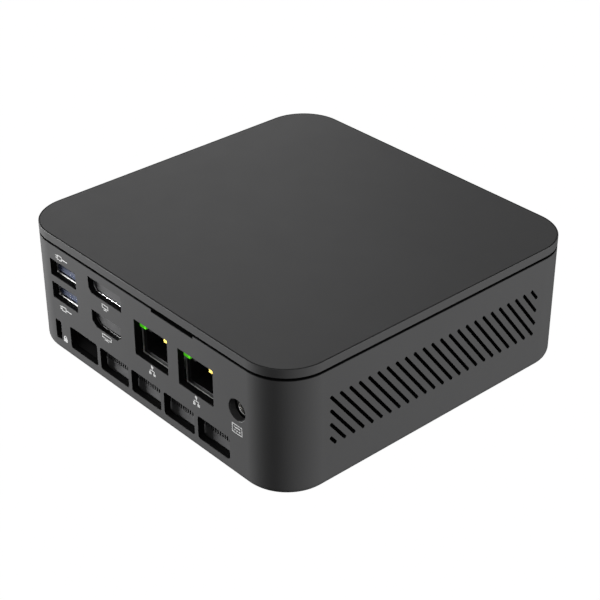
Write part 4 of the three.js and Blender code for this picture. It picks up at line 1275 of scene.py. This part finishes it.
def cooling():
    """Folded fins behind the air windows; the heat pipe, plate and processor stay the CAD's own."""
    low, high = box_mm("fin_stack")
    pitch, thick, tooth = 1.1, 0.28, 0.56
    panel_top = low.z + 4.0
    fins = [block(low, (high.x, high.y, low.z + 0.35), 0.08)]
    fins.append(block((low.x, high.y - 0.45, low.z), (high.x, high.y, panel_top), 0.1))
    # The blades and their tops take black plastic: painted shade in the gaps between the grey teeth.
    for k in range(int((high.x - low.x - tooth) / pitch) + 1):
        x = low.x + k * pitch
        fins.append(block((x, low.y, low.z + 0.2), (x + thick, high.y - 0.2, high.z), 0.05, look=1, steps=1))
        fins.append(block((x, high.y - 0.4, panel_top - 0.2), (x + tooth, high.y, high.z), 0.05, steps=1))
        fins.append(block((x, low.y + 0.1, high.z - 0.22), (x + pitch - 0.15, high.y - 0.1, high.z),
                          0.05, look=1, steps=1))
    make("folded_fins", fins, [fin_look, black_look], replaces=["fin_stack"])
    for node, look in (("heat_pipe", copper_look), ("cold_plate", copper_look), ("cpu_package", chip_look)):
        dress(node, look)


def dress(node, look):
    """A better material on a CAD node that stays."""
    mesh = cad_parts[node].data
    mesh.materials.clear()
    mesh.materials.append(look)
    smooth(mesh, 35)


def blower():
    """A fan case that is open at the back, with the coil that the fan turns round."""
    low, high = box_mm("fan_housing")
    x0, x1, y0, y1 = low.x, high.x, low.y, high.y
    outer = rounded_rect(x1 - x0, y1 - y0, 0.6, 3, *middle_of("fan_housing"))
    shell = prism(outer, along_z, low.z, high.z, 0.3, 2)
    inner = block((x0 + 1, y0 + 1, low.z + 1), (x1 - 1, y1 + 2, high.z - 1), 0.1)
    intake = pocket(circle(18, 72, FAN_X, FAN_Y), along_z, low.z, low.z + 2, 0.4, look=0)
    make("blower_case", [shell], [black_look], replaces=["fan_housing"],
         cuts=[inner, intake])
    coil = [(0, low.z + 3.5), (8.0, low.z + 3.5), (8.2, low.z + 3.8), (8.2, high.z - 0.9), (0, high.z - 0.9)]
    make("blower_stator", [turned(coil, (FAN_X, FAN_Y), 48)], [copper_look])


def fan_wheel():
    """A wheel of curved vanes round a hub cup, tied together by a flat ring."""
    low, high = box_mm("fan_impeller")
    h = high.z - low.z
    hub = [(0, 0.5), (2.2, 0.4), (2.6, 0), (9.6, 0), (10.5, 0.9), (10.5, h), (9.1, h), (9.1, 1.6), (0, 1.6)]
    parts = [turned(hub, (FAN_X, FAN_Y), 64, base=low.z)]
    vanes = 37
    parts += [vane(360 * k / vanes, low.z + 0.5, high.z - 0.5) for k in range(vanes)]
    ring = [(10.3, 0.35), (14, 0.35), (14, 1.1), (10.3, 1.1)]
    parts.append(turned(ring, (FAN_X, FAN_Y), 64, base=low.z, closed=True))
    make("fan_wheel", parts, [chip_look], body="impeller", replaces=["fan_impeller"])


def vane(turn, bottom, top):
    """One blade, bent backwards along an arc."""
    outer, inner = [], []
    for i in range(9):
        r = 10.2 + 11.8 * i / 8
        a = math.radians(turn + 26 * (i / 8) ** 1.5)
        out = Vector((math.cos(a), math.sin(a)))
        half_thickness = Vector((-out.y, out.x)) * 0.45 / 2
        centre = Vector((FAN_X, FAN_Y)) + out * r
        outer.append(centre + half_thickness)
        inner.append(centre - half_thickness)
    return loft([along_z(inner + outer[::-1], level) for level in (bottom, top)])


# ---- Stage -----------------------------------------------------------------------------------


def plain(name, color, glow):
    """An even surface without gloss, for the stage."""
    look = bpy.data.materials.new(name)
    look.use_nodes = True
    tune(look.node_tree.nodes["Principled BSDF"], {
        "Base Color": (*color, 1), "Roughness": 0.9, "Specular IOR Level": 0,
        "Emission Color": (1, 1, 1, 1), "Emission Strength": glow})
    return look


def ground_plane(name, look):
    """A large square on the ground."""
    size = 6.0  # metres from the middle to an edge
    mesh = bpy.data.meshes.new(name)
    mesh.from_pydata([(-size * sx, -size * sy, 0) for sx, sy in corners], [], [(0, 1, 2, 3)])
    mesh.materials.append(look)
    ground = add_object(name, mesh)
    return ground


def floor():
    """A pale floor that only the camera sees, and a dark cloth that throws no light up."""
    ground = ground_plane("floor", plain("floor", (0.5, 0.5, 0.5), 1))
    ground.visible_diffuse = False
    ground.visible_glossy = False
    cloth = ground_plane("dark_cloth", plain("dark_cloth", (0.01, 0.01, 0.01), 0))
    cloth.visible_camera = False


def direction(azimuth, elevation):
    a, e = math.radians(azimuth), math.radians(elevation)
    return Vector((math.sin(a) * math.cos(e), -math.cos(a) * math.cos(e), math.sin(e)))


def light(name, azimuth, elevation, distance, size, power, target=(0, 0, 0.02)):
    """A soft light of (width, height) that faces its target; lengths in metres, power in watts."""
    away = direction(azimuth, elevation)
    lamp = bpy.data.lights.new(name, "AREA")
    lamp.shape = "RECTANGLE"
    lamp.size, lamp.size_y = size
    lamp.energy = power
    holder = add_object(name, lamp)
    holder.location = Vector(target) + away * distance
    holder.rotation_mode = "QUATERNION"
    holder.rotation_quaternion = (-away).to_track_quat("-Z", "Y")


CAMERA_AZIMUTH, CAMERA_ELEVATION, CAMERA_ROLL = 228.259, 31.694, -0.11
CAMERA_DISTANCE = 0.5280
CAMERA_SLIDE = (0.00117, 0.01285)  # right and up, in metres, that centre the picture
CAMERA_AIM = (0, 0, 0.00222)  # the point that it looks at before the slide
CAMERA_LENS = 94.77


def camera():
    """The photograph's camera, rolled and slid a little to match its picture."""
    away = direction(CAMERA_AZIMUTH, CAMERA_ELEVATION)
    a = math.radians(CAMERA_AZIMUTH)
    level = Vector((math.cos(a), math.sin(a), 0))
    upward = away.cross(level)
    roll = math.radians(CAMERA_ROLL)
    right = level * math.cos(roll) + upward * math.sin(roll)
    up = upward * math.cos(roll) - level * math.sin(roll)
    lens = bpy.data.cameras.new("camera")
    lens.lens = CAMERA_LENS
    lens.clip_start = 0.01
    place = away * CAMERA_DISTANCE + right * CAMERA_SLIDE[0] + up * CAMERA_SLIDE[1] + Vector(CAMERA_AIM)
    holder = add_object("camera", lens)
    holder.matrix_world = Matrix.Translation(place) @ Matrix((right, up, away)).transposed().to_4x4()
    bpy.context.scene.camera = holder


def studio():
    """An even sky, two low strips beside the case and two weak lights above it."""
    world = bpy.data.worlds.new("studio")
    world.use_nodes = True
    tune(world.node_tree.nodes["Background"], {"Color": (1, 1, 1, 1), "Strength": 0.6})
    bpy.context.scene.world = world
    level = (0, 0, 0.024)  # the strips stay below the lid, so that it never mirrors them
    light("left_strip", 122, 0, 0.8, (0.4, 0.046), 23.5, level)
    light("right_strip", 300, 0, 1.2, (0.6, 0.046), 24, level)
    light("far_softbox", 68, 34, 0.6, (0.5, 0.5), 1.44)
    light("glint_light", 214, 42, 1.0, (0.16, 0.16), 0.3)
    bpy.context.scene.view_settings.view_transform = "Standard"


camera()
studio()
floor()
main_shell()
dust_screens()
top_cover()
bottom_cover()
feet()
screws()
usb_stack()
front_usb()
video_sockets()
lan_sockets()
power_jack()
usb_c_socket()
audio_socket()
power_button()
dome_switch()
status_lens()
pictograms()
board()
memory()
storage()
radio()
coin_cell()
aerials()
cooling()
blower()
fan_wheel()
